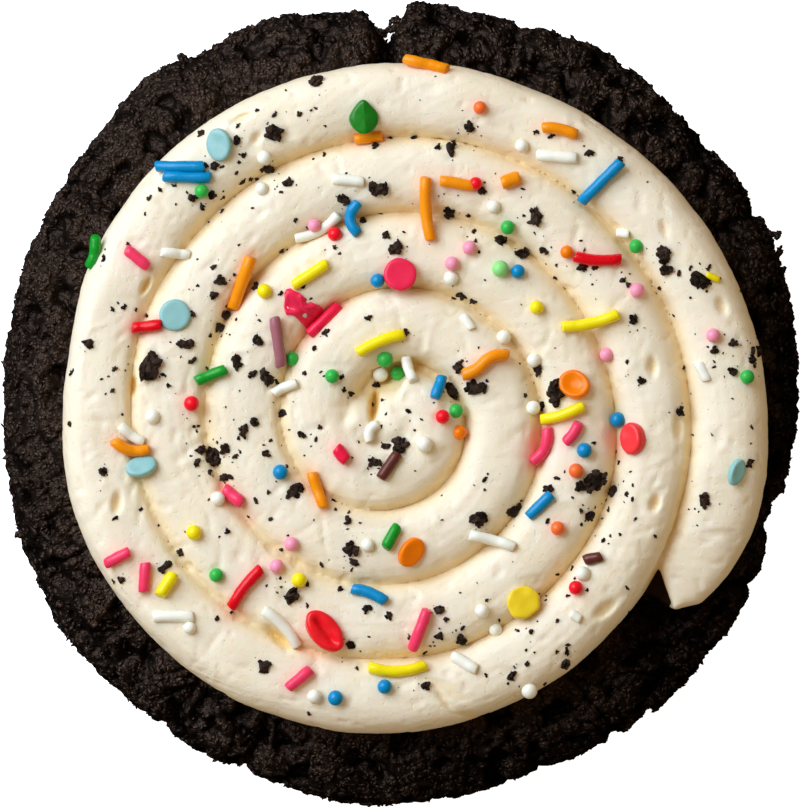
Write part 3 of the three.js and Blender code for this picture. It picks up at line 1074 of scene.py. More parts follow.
@dataclass
class CreamRope:
    """The rope of cream, piped in a spiral from the tail at the edge to the middle."""

    swirl: Swirl
    finish: CreamFinish = CreamFinish()
    line_points: int = 900
    steps: int = 260
    sides: int = 28
    voxel: float = 0.36
    cut: float = 0.7
    domes: tuple[Dome, ...] = (
        Dome(-6.2, -3.4, 6.2, 8.3),
        Dome(-1.0, 0.6, 9.6, 5.2),
        Dome(-0.6, -2.6, 6.2, 8.5),
    )
    pits: tuple[Pit, ...] = (
        Pit(36.0, 5.2, 2.9, 1.3, 90, 0.7),
        Pit(39.7, -3.5, 3.6, 1.3, 92, 0.6),
        Pit(36.4, -14.2, 2.4, 1.4, 72, 0.9),
        Pit(45.9, 13.9, 2.6, 1.4, 110, 0.6),
        Pit(29.3, -29.4, 3.7, 1.7, 38, 0.8),
        Pit(-36.3, 16.8, 2.6, 1.0, 62, 1.1),
        Pit(-38.1, 2.5, 2.6, 0.9, 86, 1.2),
        Pit(-40.4, -14.2, 3.0, 1.3, 82, 0.9),
        Pit(-22.7, 40.9, 3.0, 1.1, 24, 0.7),
        Pit(-20.4, 37.9, 1.8, 1.2, 42, 0.6),
        Pit(37.7, 24.9, 2.6, 1.1, 108, 0.5),
        Pit(-3.7, -0.4, 3.8, 1.2, 82, 3.0),
        Pit(-17.4, -33.4, 4.6, 1.6, -45, 0.7),
        Pit(1.2, 5.2, 5.5, 1.8, 14, 0.9, 1.1),
        Pit(-2.2, 3.6, 3.8, 1.8, 45, 1.0, 1.1),
        Pit(6.4, -42.6, 4.6, 0.9, -51, 0.6),
        Pit(10.4, -44.7, 5.0, 0.9, -5, 0.7),
        Pit(5.0, -39.6, 6.0, 0.9, -18, 0.35, 1.0),
        Pit(6.5, -40.8, 6.0, 0.9, -18, 0.35, 1.0),
        Pit(8.0, -42.0, 4.6, 0.9, -15, 0.3, 1.0),
    )
    nick_count: int = 220
    nick_reach: float = 50.0
    drifts: tuple[Ripple, ...] = (Ripple(1.0, 17.0, 4.0), Ripple(1.0, 17.0, 31.0))
    swells: tuple[Ripple, ...] = (Ripple(0.30, 12.0, 8.0), Ripple(0.16, 5.0, 13.0))
    line: Ripple = Ripple(0.07, 1.0, 2.0)
    line_size: Range = (11.0, 1.1)
    stroke: Ripple = Ripple(0.06, 1.0, 6.0)
    stroke_size: Range = (1.1, 3.2)
    dimples: tuple[Ripple, ...] = (Ripple(0.2, 2.2, 19.0), Ripple(0.1, 1.3, 77.0))
    dimple_band: Range = (0.3, 0.7)
    crease_deep: float = 0.9
    crease_wide: float = 0.5
    crease_waver: Ripple = Ripple(0.5, 9.0, 44.0)
    smear_high: float = 1.0
    smear_wide: float = 1.9

    def pipe(self) -> bpy.types.Object:
        """Extrudes a straight rope with its tail and its round start, then winds it along the spiral."""
        swirl = self.swirl
        angles = np.linspace(swirl.tail, swirl.heart, self.line_points)
        line = np.stack(swirl.wind(angles, swirl.ridge(angles)), axis=-1)
        gaps = np.hypot(*np.diff(line, axis=0).T)
        along = np.concatenate([[0.0], np.cumsum(gaps)])
        length = float(along[-1])
        Workbench.clear()
        turned = (0.0, math.pi / 2, 0.0)
        bpy.ops.mesh.primitive_circle_add(vertices=self.sides, radius=MM, fill_type="NGON", rotation=turned)
        rope = Workbench.added("cream")
        Workbench.edit(rope)
        stride = (length / self.steps * MM, 0.0, 0.0)
        for _ in range(self.steps):
            bpy.ops.mesh.extrude_region_move(TRANSFORM_OT_translate={"value": stride})
        Workbench.close()
        points = Workbench.points(rope)
        angle = np.interp(points[:, 0], along, angles)
        points = self.section(points, angle)
        x, y = swirl.wind(angle, swirl.ridge(angle) + points[:, 1])
        Workbench.move(rope, np.stack([x, y, points[:, 2]], axis=1))
        return rope

    def section(self, points: np.ndarray, angle: np.ndarray) -> np.ndarray:
        """Shapes each round section of the straight rope: a full top, upright sides and a flat foot.

        Args:
            points: Points of the straight rope with sections of radius 1.
            angle: Angle along the rope of each point.

        Returns:
            Points along the rope, across it (outwards) and up.
        """
        swirl = self.swirl
        turn = np.arctan2(points[:, 2], points[:, 1])
        out = np.cos(turn)
        up = np.sin(turn)
        power = 2.0 / swirl.squareness
        across = np.sign(out) * np.abs(out) ** power
        outer, inner, height = swirl.taper(angle)
        inner_half = np.minimum(swirl.half, 0.95 * swirl.ridge(angle))
        half = np.where(across > 0.0, swirl.half * outer, inner_half * inner)
        across = across * np.maximum(half, 0.04)
        top = swirl.waist * height + (swirl.height - swirl.waist) * height * np.abs(up) ** power
        foot = -swirl.sink - 0.6 * np.abs(up)
        rise = np.where(up >= -1e-6, top, foot)
        return np.stack([points[:, 0], across, swirl.floor + rise], axis=1)

    def join_heart(self, rope: bpy.types.Object) -> None:
        """Fills the middle of the spiral with low domes, joined to the rope.

        Args:
            rope: The cream.
        """
        for dome in self.domes:
            Workbench.clear()
            middle = (dome.x * MM, dome.y * MM, self.swirl.floor * MM)
            bpy.ops.mesh.primitive_uv_sphere_add(segments=32, ring_count=16, radius=MM, location=middle)
            made = bpy.context.active_object
            made.scale = (dome.radius, dome.radius, dome.height)
            bpy.ops.object.transform_apply(location=True, rotation=True, scale=True)
            rope.select_set(True)
            bpy.context.view_layer.objects.active = rope
            bpy.ops.object.join()

    def fuse(self, rope: bpy.types.Object) -> None:
        """Makes one skin of the turns, cuts the foot flat and eases the skin.

        Args:
            rope: The cream.
        """
        Workbench.finish(rope, "REMESH", mode="VOXEL", voxel_size=self.voxel * MM)
        Workbench.edit(rope)
        level = (0.0, 0.0, (self.swirl.floor - self.cut) * MM)
        bpy.ops.mesh.bisect(plane_co=level, plane_no=(0, 0, 1), use_fill=True, clear_inner=True)
        Workbench.close()
        Workbench.finish(rope, "SMOOTH", factor=0.5, iterations=6)

    def soften(self, rope: bpy.types.Object) -> None:
        """Adds what a piping bag leaves: a wavering line, soft swells, faint drag lines and pits.

        Args:
            rope: The cream.
        """
        swirl = self.swirl
        points = Workbench.points(rope)
        normals = Workbench.rows(rope.data.vertices, "normal")
        plan = points * FLAT
        up = smooth(0.5, 4.0, points[:, 2] - swirl.floor)
        side = swirl.crease_side(plan[:, 0], plan[:, 1])
        snap = side * (1.0 - smooth(0.14, 0.36, np.abs(side)))
        outward = np.stack([points[:, 0] - swirl.x, points[:, 1] - swirl.y], axis=1)
        outward /= np.maximum(np.hypot(outward[:, 0], outward[:, 1]), 1.0)[:, None]
        drift = np.stack([ripple.at(plan) for ripple in self.drifts], axis=1)
        radius = np.hypot(plan[:, 0] - swirl.x, plan[:, 1] - swirl.y)
        angle = swirl.first_turn(plan[:, 0], plan[:, 1])
        skin = self.skin(points, radius, angle)
        crease = self.crease(plan, np.abs(side - snap), radius, angle)
        points += normals * (up * skin)[:, None]
        points[:, 2] += up * crease
        points[:, :2] += up[:, None] * (0.45 * drift + outward * snap[:, None])
        for pit in self.pits + self.nicks():
            points[:, 2] -= up * self.hollow_and_shade(points, pit)
        under = smooth(2.6, 0.0, points[:, 2] - swirl.floor)
        cover = swirl.cover(points[:, 0], points[:, 1])
        edge = (1.0 - smooth(0.5, 3.0, cover)) * swirl.open_edge(angle)
        shift = swirl.edge_shift(angle)
        free = 1.0 - smooth(-0.5, 4.5, cover - shift)
        points[:, :2] += outward * (free * shift - 0.8 * under * edge)[:, None]
        Workbench.move(rope, points)

    def skin(self, points: np.ndarray, radius: np.ndarray, angle: np.ndarray) -> np.ndarray:
        """Height of the swells, drag lines and dimples of the skin.

        Args:
            points: The cream's points.
            radius: Their distances from the middle of the spiral.
            angle: Their angles along the outermost turn.

        Returns:
            The height at each point.
        """
        plan = points * FLAT
        across = radius + self.swirl.pitch * angle / 360.0
        along = np.radians(angle) * radius
        level = np.zeros_like(across)
        lines = np.stack([along / self.line_size[0], across / self.line_size[1], level], axis=1)
        strokes = np.stack([along / self.stroke_size[0], across / self.stroke_size[1], level], axis=1)
        swell = sum(ripple.at(plan) for ripple in self.swells)
        drag = self.line.at(lines) + self.stroke.at(strokes)
        dimples = sum(-ripple.spots(points, self.dimple_band) for ripple in self.dimples)
        return swell + drag + dimples

    def crease(self, plan: np.ndarray, gap: np.ndarray, radius: np.ndarray, angle: np.ndarray) -> np.ndarray:
        """Rise of the creases between turns: sunk where they part, raised where they are smeared together.

        Args:
            plan: The cream's points in plan.
            gap: Their distances from the nearest crease.
            radius: Their distances from the middle of the spiral.
            angle: Their angles along the outermost turn.

        Returns:
            The rise at each point.
        """
        merged = self.swirl.merged(angle)
        crease = -self.crease_deep * np.exp(-gap / self.crease_wide)
        crease = crease * (0.8 + self.crease_waver.at(plan)) * (1.0 - merged)
        crease += self.smear_high * merged * np.exp(-((gap / self.smear_wide) ** 2))
        return crease * smooth(self.swirl.heart_radius, self.swirl.heart_radius + 3.0, radius)

    def nicks(self) -> tuple[Pit, ...]:
        """Wrinkles and ridges that the nozzle leaves across the rope, more of them at the lower left."""
        draw = random.Random(SEED + 2)
        found = []
        while len(found) < self.nick_count:
            radius = self.nick_reach * math.sqrt(draw.random())
            angle = draw.uniform(-180.0, 180.0)
            if draw.random() > 0.45 + 0.55 * float(self.swirl.merged(np.array(angle))):
                continue
            x = self.swirl.x + radius * math.cos(math.radians(angle))
            y = self.swirl.y + radius * math.sin(math.radians(angle))
            depth = draw.uniform(0.08, 0.24) * draw.choice((1.0, 1.0, -0.7))
            turn = angle + draw.gauss(35.0, 30.0)
            found.append(Pit(x, y, draw.uniform(1.8, 5.0), draw.uniform(0.7, 1.3), turn, depth, 1.0))
        return tuple(found)

    @staticmethod
    def hollow_and_shade(points: np.ndarray, pit: Pit) -> np.ndarray:
        """Depth that one pit takes from each point; the tint also uses it as painted shade in the pit."""
        turn = math.radians(pit.turn)
        taken = np.zeros(len(points))
        near = np.nonzero(np.abs(points[:, 0] - pit.x) + np.abs(points[:, 1] - pit.y) < 1.5 * pit.long)[0]
        x = points[near, 0] - pit.x
        y = points[near, 1] - pit.y
        along = (x * math.cos(turn) + y * math.sin(turn)) / (0.5 * pit.long)
        aside = (y * math.cos(turn) - x * math.sin(turn)) / (0.5 * pit.short)
        taken[near] = pit.depth * np.exp(-((along**2 + aside**2) ** pit.edge))
        return taken

    def tint(self, rope: bpy.types.Object) -> None:
        """Keeps on the mesh a painted shade: how much of the darker, yellower colour each point takes in the
        creases, on the low flanks, in smeared creases and in the pits.

        Args:
            rope: The cream.
        """
        swirl = self.swirl
        points = Workbench.points(rope)
        cover = swirl.cover(points[:, 0], points[:, 1])
        inside = smooth(3.0, 6.5, cover)
        gap = np.abs(swirl.crease_side(points[:, 0], points[:, 1]))
        angle = swirl.first_turn(points[:, 0], points[:, 1])
        _, _, low = swirl.taper(angle)
        depth = (points[:, 2] - swirl.floor) / (low + (1.0 - low) * smooth(9.0, 12.0, cover))
        # Painted shade: the low flanks and the creases between the turns are darkened and yellowed.
        low_flank_shade = (1.0 - smooth(4.8, 8.6, depth)) * (0.2 + 0.8 * inside)
        hollow_and_shade = 0.55 * low_flank_shade + 0.1 * np.exp(-gap / 0.9) * low_flank_shade
        hollow_and_shade += 0.35 * swirl.merged(angle) * np.exp(-((gap / 1.6) ** 2))
        # Painted shade in the pits, deeper pits darker.
        for pit in self.pits:
            hollow_and_shade += 0.6 * self.hollow_and_shade(points, pit)
        Workbench.keep_value(rope, "hollow_and_shade", np.clip(hollow_and_shade, 0.0, 1.0))

    @staticmethod
    def dye(rope: bpy.types.Object, stains: Iterable[Stain]) -> None:
        """Keeps on the mesh the colour that has soaked into each point.

        Args:
            rope: The cream.
            stains: The colour beside the sprinkles.
        """
        points = Workbench.points(rope)
        colour = np.ones((len(points), 4))
        amount = np.zeros(len(points))
        for stain in stains:
            start = np.array(stain.start)
            way = np.array(stain.end) - start
            size = float(way @ way)
            offset = points[:, :2] - start
            share = np.clip(offset @ way / size, 0.0, 1.0) if size > 0.0 else np.zeros(len(points))
            gap = np.hypot(*(offset - share[:, None] * way).T)
            soaked = stain.strength * np.exp(-((gap / stain.reach) ** 2))
            weight = soaked / np.maximum(soaked + amount, 1e-6)
            colour[:, :3] += weight[:, None] * (np.array(stain.coat.shade[:3]) - colour[:, :3])
            amount = np.maximum(amount, soaked)
        colour[:, 3] = amount
        Workbench.keep_colour(rope, "dye", colour)

    def build(self) -> bpy.types.Object:
        """Builds the cream, without its colour, and returns it."""
        rope = self.pipe()
        self.join_heart(rope)
        self.fuse(rope)
        self.soften(rope)
        return rope

    def dress(self, rope: bpy.types.Object, stains: Iterable[Stain]) -> None:
        """Colours the cream and ties it to the cookie.

        Args:
            rope: The cream.
            stains: The colour beside the sprinkles.
        """
        # Paints shade into the creases, low flanks and pits.
        self.tint(rope)
        self.dye(rope, stains)
        Workbench.dress(rope, self.finish.material("cream"), "cream")
        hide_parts("cream_swirl")


@dataclass(frozen=True)
class Rod:
    """A thin sugar rod: its ends in plan, its bow to the left, thickness, sink, bleeding and S-bend."""

    coat: Coat
    x1: float
    y1: float
    x2: float
    y2: float
    bow: float = 0.0
    thick: float = 1.65
    sink: float = 0.25
    bleed: float = 1.0
    bend: float = 0.0


@dataclass(frozen=True)
class Ball:
    """A sugar ball: its place in plan, its diameter and how far it is pressed in."""

    coat: Coat
    x: float
    y: float
    size: float = 2.05
    sink: float = 0.35


@dataclass(frozen=True)
class Disc:
    """A flat sugar disc: place in plan, lean of its face, the way it leans, sizes and crumple."""

    coat: Coat
    x: float
    y: float
    lean: float
    way: float
    size: float = 4.6
    thick: float = 1.25
    short: float = 1.0
    turn: float = 0.0
    crumple: float = 0.04
    crease: float = 0.0
    fold: float = 0.0
    peak: float = 0.0
    dish: float = 0.05
    ridges: float = 0.0
    shown: float = 0.3
    corners: tuple[Range, ...] = ()


def coated(kind: type, *groups: tuple) -> tuple:
    """Makes sprinkles of one kind from groups: a coat and the numbers of each sprinkle that has it."""
    return tuple(kind(coat, *row) for coat, *rows in groups for row in rows)


# Corners of the smeared disc, around its middle
SMEAR: tuple[Range, ...] = (
    (-2.2, 2.6), (-1.7, 3.0), (-0.9, 2.4), (-0.1, 2.1), (0.6, 1.5), (1.8, 0.6), (3.0, 0.3), (3.4, -0.6),
    (1.6, -3.0), (0.9, -3.0), (0.2, -2.1), (-0.7, -1.1), (-1.1, -0.9), (-2.0, -1.1), (-2.4, -0.5),
    (-2.3, 0.8),
)

RODS: tuple[Rod, ...] = coated(
    Rod,
    (
        Coat.ORANGE, (0.7, 49.2, 6.8, 47.7), (-6.5, 37.7, -2.5, 38.2), (3.7, 32.3, 4.4, 23.3, -0.4),
        (5.7, 31.8, 10.4, 31.0), (14.5, 31.4, 17.1, 32.3, 0.0, 2.0), (20.3, 39.4, 25.3, 38.3, 0.3),
        (-21.3, 20.9, -23.9, 13.4, 0.0, 1.85, 0.25, 2.2), (-40.9, -5.3, -35.9, -6.6, -0.7),
        (8.9, 4.1, 15.4, 6.9, 0.35, 1.8, 0.25, 1.0, -0.45),
        (-12.6, -9.8, -10.9, -14.8, 0.0, 1.65, 0.25, 2.0),
    ),
    (
        Coat.BLUE, (-34.9, 33.8, -27.9, 33.8), (-33.7, 32.4, -27.0, 32.2), (-5.9, 28.7, -6.0, 24.2, -1.2),
        (31.6, 34.5, 25.8, 28.7), (6.1, 3.9, 5.0, 0.8), (21.6, -12.9, 18.3, -16.2),
        (-6.9, -26.4, -2.0, -28.2, 0.3),
    ),
    (Coat.FERN, (-43.5, 23.8, -44.4, 19.5, 0.4), (-29.1, 3.2, -24.8, 4.9), (-0.4, -17.5, -2.1, -20.6)),
    (Coat.ROSE, (-39.1, 22.0, -36.0, 19.6)),
    (Coat.RED, (-38.2, 10.8, -34.1, 11.2, 0.0, 1.65, 0.25, 1.8)),
    (Coat.ROSE, (-25.2, -12.2, -22.5, -14.2, 0.0, 1.9, 0.25, 1.8)),
    (Coat.CRIMSON, (-8.7, 14.0, -13.0, 9.8, 0.0, 1.65, 0.25, 1.5), (-9.1, -6.3, -7.6, -8.2, 0.0, 1.9)),
    (
        Coat.ROSE, (21.0, -3.5, 18.8, -8.4, 0.9, 1.65, 0.25, 3.0), (25.5, -2.7, 23.6, -5.6, 0.2),
        (-42.0, -22.9, -38.6, -21.1), (-36.3, -22.7, -36.6, -26.9), (3.9, -29.4, 1.8, -35.1),
        (-16.0, -40.6, -12.7, -37.9),
    ),
    (Coat.RED, (24.9, 21.0, 31.6, 20.6, -0.4), (-19.8, -23.5, -24.1, -29.2, -0.3)),
    (
        Coat.YELLOW, (-10.4, 20.0, -15.3, 16.8), (-6.0, 7.2, 0.7, 9.9, 0.4), (23.1, 11.0, 31.2, 12.8, -0.5),
        (20.0, -2.3, 26.2, -0.3, -0.4), (-32.3, -24.3, -34.3, -27.4, 0.0, 1.85),
        (-4.5, -37.6, 3.7, -37.3, -0.8), (43.8, 18.4, 45.6, 17.6, 0.0, 1.0),
    ),
    (Coat.PLUM, (-17.9, 12.3, -16.9, 5.2)),
    (Coat.COCOA, (-0.3, -7.1, -2.8, -10.7), (26.3, -22.4, 28.8, -21.8)),
    (
        Coat.WHITE, (-34.1, 21.6, -30.1, 21.2, 0.0, 1.5, 0.75), (-9.7, 32.1, -5.2, 31.6, 0.0, 1.65, 0.75),
        (-15.0, 23.6, -8.8, 27.0, -0.8, 1.5, 0.6), (19.6, 35.5, 25.3, 35.0, 0.0, 1.7, 0.7),
        (-39.9, -3.1, -36.5, -5.5, -0.3, 1.5, 0.6), (0.9, 6.7, 1.9, 3.2, -0.2, 1.5),
        (-3.0, -2.9, -4.3, -5.3, -0.7, 1.5, 0.6), (-18.1, 1.4, -14.7, 2.9, 0.2, 1.5, 0.6),
        (42.6, 6.0, 43.9, 3.3, 0.0, 1.7, 1.1), (-35.2, -30.4, -29.4, -30.4, 0.0, 1.75, 0.9),
        (9.9, -18.8, 16.3, -20.5, 0.2, 1.6, 0.65), (7.5, -36.0, 11.0, -38.0, 0.0, 1.7, 0.75),
        (-19.5, -29.4, -14.6, -34.7, 0.5, 1.6, 0.6), (24.4, -29.9, 25.8, -30.9, 0.0, 1.35, 0.6),
        (31.0, 24.5, 32.7, 24.1, 0.0, 1.35, 0.4), (9.0, 12.6, 10.3, 10.6, 0.0, 1.35, 0.55),
    ),
)

BALLS: tuple[Ball, ...] = coated(
    Ball,
    (
        Coat.GREEN, (-28.3, 30.3), (15.4, 25.2), (33.8, 22.5), (-15.3, 6.3), (-9.7, 3.9), (-2.2, 6.4, 2.3),
        (-0.3, 4.2), (7.9, -1.1), (49.5, 3.8), (-26.2, -24.5),
    ),
    (Coat.LIME, (14.3, 19.2, 2.4)),
    (
        Coat.BLUE, (-3.2, 17.6), (16.8, 18.8), (31.2, -2.3, 2.2), (26.3, -6.7, 2.2), (-17.1, -9.8, 2.2),
        (-2.2, -40.4, 2.1), (-9.2, -42.0, 2.2),
    ),
    (Coat.CHERRY, (10.8, 31.4, 1.9), (-9.3, 24.1), (-29.8, 0.0, 2.2), (6.1, -1.9), (25.1, -26.3)),
    (Coat.CORAL, (11.4, 42.2, 1.9)),
    (Coat.TANGERINE, (23.8, 21.6, 1.9), (8.4, -4.1)),
    (Coat.CORAL, (25.1, -9.6, 2.15), (22.5, -17.8)),
    (
        Coat.PINK, (-12.3, 25.5, 1.9), (9.9, 22.2), (7.4, 20.0), (33.8, 16.1, 2.2), (29.6, 7.0),
        (44.7, 9.7), (-15.5, -20.0), (-17.6, -23.2),
    ),
    (Coat.YELLOW, (-19.3, 16.0, 2.1), (19.5, 13.7, 2.0), (-29.4, -18.4, 2.2), (-14.4, -25.2, 2.2)),
    (
        Coat.WHITE, (-19.4, 35.1), (-19.7, 30.6, 1.9, 0.6), (17.4, 36.8, 1.9), (13.4, 28.1, 1.9, 0.7),
        (-35.3, -1.9, 2.1, 0.9), (-26.0, -13.6), (-2.9, 4.2, 2.2), (14.7, 9.4), (3.5, -5.8, 2.3),
        (19.2, 6.2), (18.9, -0.6), (-30.0, -32.0, 1.8, 0.5), (-4.6, -20.2, 1.9), (-12.2, -41.8, 2.1),
        (11.7, -29.6), (13.6, -32.2, 1.9), (18.4, -40.9, 2.3), (26.1, -24.3, 2.1, 0.6),
        (7.3, 17.9, 2.1, 0.9),
    ),
)

DISCS: tuple[Disc, ...] = (
    Disc(Coat.SKY, -25.8, 36.9, 20, 185, 4.7, 1.2, 0.78, 95),
    Disc(Coat.LEAF, -5.1, 40.9, 8, 0, 4.9, 1.3, 0.85, 95, fold=0.32, peak=0.45, dish=0.0),
    Disc(Coat.CERISE, 0.0, 18.4, 6, 90, 4.7),
    Disc(Coat.SKY, -32.1, 12.6, 4, 150, 4.5),
    Disc(Coat.SKY, -36.9, -9.0, 26, 105, 4.5, 1.2, 0.68, 15),
    Disc(Coat.TANGERINE, 24.9, 2.7, 18, 120, 4.7, 1.5, 0.85, -30, dish=0.55),
    Disc(Coat.POPPY, 33.2, -5.0, 38, 180, 4.6, 1.7, 0.8, 95),
    Disc(Coat.SKY, 48.0, -9.8, 36, -20, 3.9, 1.1, 0.6, 70),
    Disc(Coat.TANGERINE, 1.6, -21.2, 24, -35, 4.5, 1.3, 0.74, 55),
    Disc(Coat.STRAW, 17.6, -28.4, 5, 20, 4.8, 1.25, 0.95, 30, 0.12),
    Disc(Coat.SCARLET, -10.8, -32.5, 10, 40, 6.9, 2.2, 0.6, -50, 0.08, 1.1, dish=0.0),
    Disc(Coat.CERISE, -14.2, 13.6, 0, 0, 5.0, 1.0, crumple=0.12, ridges=1.0, shown=0.15, corners=SMEAR),
)

SOAKED: list[Stain] = [
    Stain((-16.4, 11.4), (-15.2, 8.2), Coat.CORAL, 1.3, 0.26),
    Stain((30.0, -4.6), (31.6, -6.4), Coat.SCARLET, 1.6, 0.3),
    Stain((19.0, -4.4), (18.2, -7.4), Coat.CORAL, 1.3, 0.36),
    Stain((-14.2, -33.4), (-12.4, -35.4), Coat.CORAL, 1.5, 0.24),
    Stain((-24.4, -30.4), (-22.6, -30.0), Coat.CORAL, 1.2, 0.24),
    Stain((-22.2, -15.4), (-21.6, -16.6), Coat.ROSE, 1.2, 0.2),
    Stain((-24.6, 15.6), (-24.8, 13.4), Coat.ORANGE, 1.4, 0.3),
]


BLEED: dict[Coat, float] = {
    Coat.RED: 0.17,
    Coat.CRIMSON: 0.19,
    Coat.CHERRY: 0.15,
    Coat.ROSE: 0.12,
    Coat.PINK: 0.09,
    Coat.CORAL: 0.16,
    Coat.ORANGE: 0.14,
    Coat.YELLOW: 0.09,
    Coat.PLUM: 0.09,
    Coat.BLUE: 0.06,
    Coat.GREEN: 0.05,
    Coat.FERN: 0.05,
}


@dataclass
class Sprinkles:
    """Rods, balls and discs of coloured sugar, set on the cream."""

    ground: Ground
    finish: SugarFinish = SugarFinish()
    rods: tuple[Rod, ...] = RODS
    balls: tuple[Ball, ...] = BALLS
    discs: tuple[Disc, ...] = DISCS
    lowest: float = 20.0
    inward: tuple[float, ...] = (1.0, 0.985, 0.97, 0.95, 0.92)
    rod_sides: int = 12
    rod_cuts: int = 10
    rod_rim: float = 0.475
    rod_rests: int = 9
    rod_cap: float = 0.18
    rod_slant: Range = (-0.2, 0.2)
    steepest: float = 0.22
    ball_foot: float = 0.4
    ball_lean: tuple[float, float, float] = (0.2, 0.2, 1.0)
    disc_sides: int = 40
    disc_insets: tuple[float, ...] = (0.02, 0.04, 0.06, 0.09, 0.10, 0.10)
    disc_flat: float = 0.38

    def rod_shape(self) -> Shape:
        """Models one rod of length and diameter 1 with soft ends."""
        Workbench.clear()
        low = (0.0, 0.0, -0.5)
        bpy.ops.mesh.primitive_circle_add(vertices=self.rod_sides, radius=0.5, fill_type="NGON", location=low)
        rod = Workbench.added("rod")
        Workbench.edit(rod)
        for _ in range(self.rod_cuts):
            bpy.ops.mesh.extrude_region_move(TRANSFORM_OT_translate={"value": (0, 0, 1.0 / self.rod_cuts)})
        Workbench.close()
        points = Workbench.points(rod) * MM
        outermost = 0.5 - 1.0 / self.rod_cuts
        near_end = (np.abs(points[:, 2]) > outermost - 0.01) & (np.abs(points[:, 2]) < 0.49)
        points[:, 2] = np.where(near_end, np.sign(points[:, 2]) * self.rod_rim, points[:, 2])
        Workbench.move(rod, points / MM)
        return Workbench.template(rod)

    def ball_shape(self) -> Shape:
        """Models one ball of diameter 1, a little out of round."""
        Workbench.clear()
        bpy.ops.mesh.primitive_ico_sphere_add(subdivisions=3, radius=0.5)
        ball = Workbench.added("ball")
        points = Workbench.points(ball)
        points *= (1.0 + 0.02 * waves(points * MM, 0.5, 3.0))[:, None]
        Workbench.move(ball, points)
        return Workbench.template(ball)

    def disc_shape(self) -> Shape:
        """Models one disc of diameter and thickness 1 with a rounded rim and fine faces."""
        Workbench.clear()
        sides = self.disc_sides
        bpy.ops.mesh.primitive_cylinder_add(vertices=sides, radius=0.5, depth=1.0, end_fill_type="NGON")
        disc = Workbench.added("disc")
        Workbench.edit(disc)
        bpy.ops.mesh.select_mode(type="FACE")
        bpy.ops.mesh.select_all(action="DESELECT")
        bpy.ops.object.mode_set(mode="OBJECT")
        for face in disc.data.polygons:
            face.select = abs(face.normal.z) > 0.9
        bpy.ops.object.mode_set(mode="EDIT")
        for thickness in self.disc_insets:
            bpy.ops.mesh.inset(thickness=thickness, depth=0.0, use_individual=True)
        bpy.ops.object.mode_set(mode="OBJECT")
        points = Workbench.points(disc) * MM
        radius = np.hypot(points[:, 0], points[:, 1])
        edge = np.clip((radius - self.disc_flat) / 0.12, 0.0, 1.0)
        round_off = 1.0 - np.sqrt(np.clip(1.0 - edge**2, 0.0, 1.0)) * 0.75
        points[:, 2] *= 1.0 - 0.62 * np.where(edge > 0.0, round_off - 0.25, 0.0)
        Workbench.move(disc, points / MM)
        return Workbench.template(disc)

    def top(self, x: float, y: float) -> float:
        """Height of the cream at a place, or of its flank where the place hangs past the edge."""
        for share in self.inward:
            found = self.ground.height(x * share, y * share)
            if found is not None and found > self.lowest:
                return found
        return self.lowest

    def rod_line(self, rod: Rod) -> np.ndarray:
        """Points along the middle of a rod that rests on the highest cream under it.

        Args:
            rod: The rod.

        Returns:
            The points, from one end to the other.
        """
        shares = np.linspace(0.0, 1.0, self.rod_rests)
        start = np.array([rod.x1, rod.y1])
        way = np.array([rod.x2, rod.y2]) - start
        length = float(np.hypot(*way))
        left = np.array([-way[1], way[0]]) / length
        aside = 4.0 * rod.bow * shares * (1.0 - shares) + rod.bend * np.sin(math.tau * shares)
        plan = start + shares[:, None] * way + aside[:, None] * left
        under = np.array([self.top(x, y) for x, y in plan])
        slope = float(np.clip(np.polyfit(shares * length, under, 1)[0], -self.steepest, self.steepest))
        level = slope * length * (shares - 0.5)
        lift = float(np.max(under - level))
        rest = level + lift + 0.5 * rod.thick - rod.sink
        sag = 0.35 * np.minimum(rest - under - 0.3 * rod.thick, 1.2)
        return np.column_stack([plan, rest - np.maximum(sag, 0.0)])

    @staticmethod
    def along(line: np.ndarray, shares: np.ndarray) -> np.ndarray:
        """Points at shares of the way along a line."""
        steps = np.linspace(0.0, 1.0, len(line))
        return np.column_stack([np.interp(shares, steps, line[:, k]) for k in range(3)])

    def add_rods(self, pile: Pile, shape: Shape, draw: random.Random) -> None:
        """Bends a copy of the rod along the line of each and adds it.

        Args:
            pile: Where they are added.
            shape: A rod of length and diameter 1.
            draw: The random draw.
        """
        base, faces = shape
        share = base[:, 2] + 0.5
        end = np.clip(np.abs(base[:, 2]) * 2.0, 0.0, 1.0)
        for rod in self.rods:
            line = self.rod_line(rod)
            middle = self.along(line, share)
            ahead = self.along(line, np.minimum(share + 0.1, 1.0))
            behind = self.along(line, np.maximum(share - 0.1, 0.0))
            way = ahead - behind
            way /= np.linalg.norm(way, axis=1)[:, None]
            side = np.cross(way, np.array(UP))
            side /= np.linalg.norm(side, axis=1)[:, None]
            up = np.cross(side, way)
            length = float(np.linalg.norm(line[-1] - line[0]))
            rim = self.rod_cap * rod.thick
            cap = np.clip((end * length / 2 - (length / 2 - rim)) / rim, 0.0, 1.0)
            phase = draw.uniform(0.0, 60.0)
            spots = np.column_stack([share * length / 1.6 + phase, base[:, 0], base[:, 1]])
            girth = rod.thick * (1.0 + 0.12 * waves(spots, 0.8)) * (1.0 - 0.2 * cap**2)
            points = middle + side * (base[:, 0] * girth)[:, None] + up * (base[:, 1] * girth)[:, None]
            slant = draw.uniform(*self.rod_slant) * base[:, 0] + draw.uniform(*self.rod_slant) * base[:, 1]
            points += way * (slant * rod.thick * cap)[:, None]
            pile.add(points, faces, rod.coat.shade)

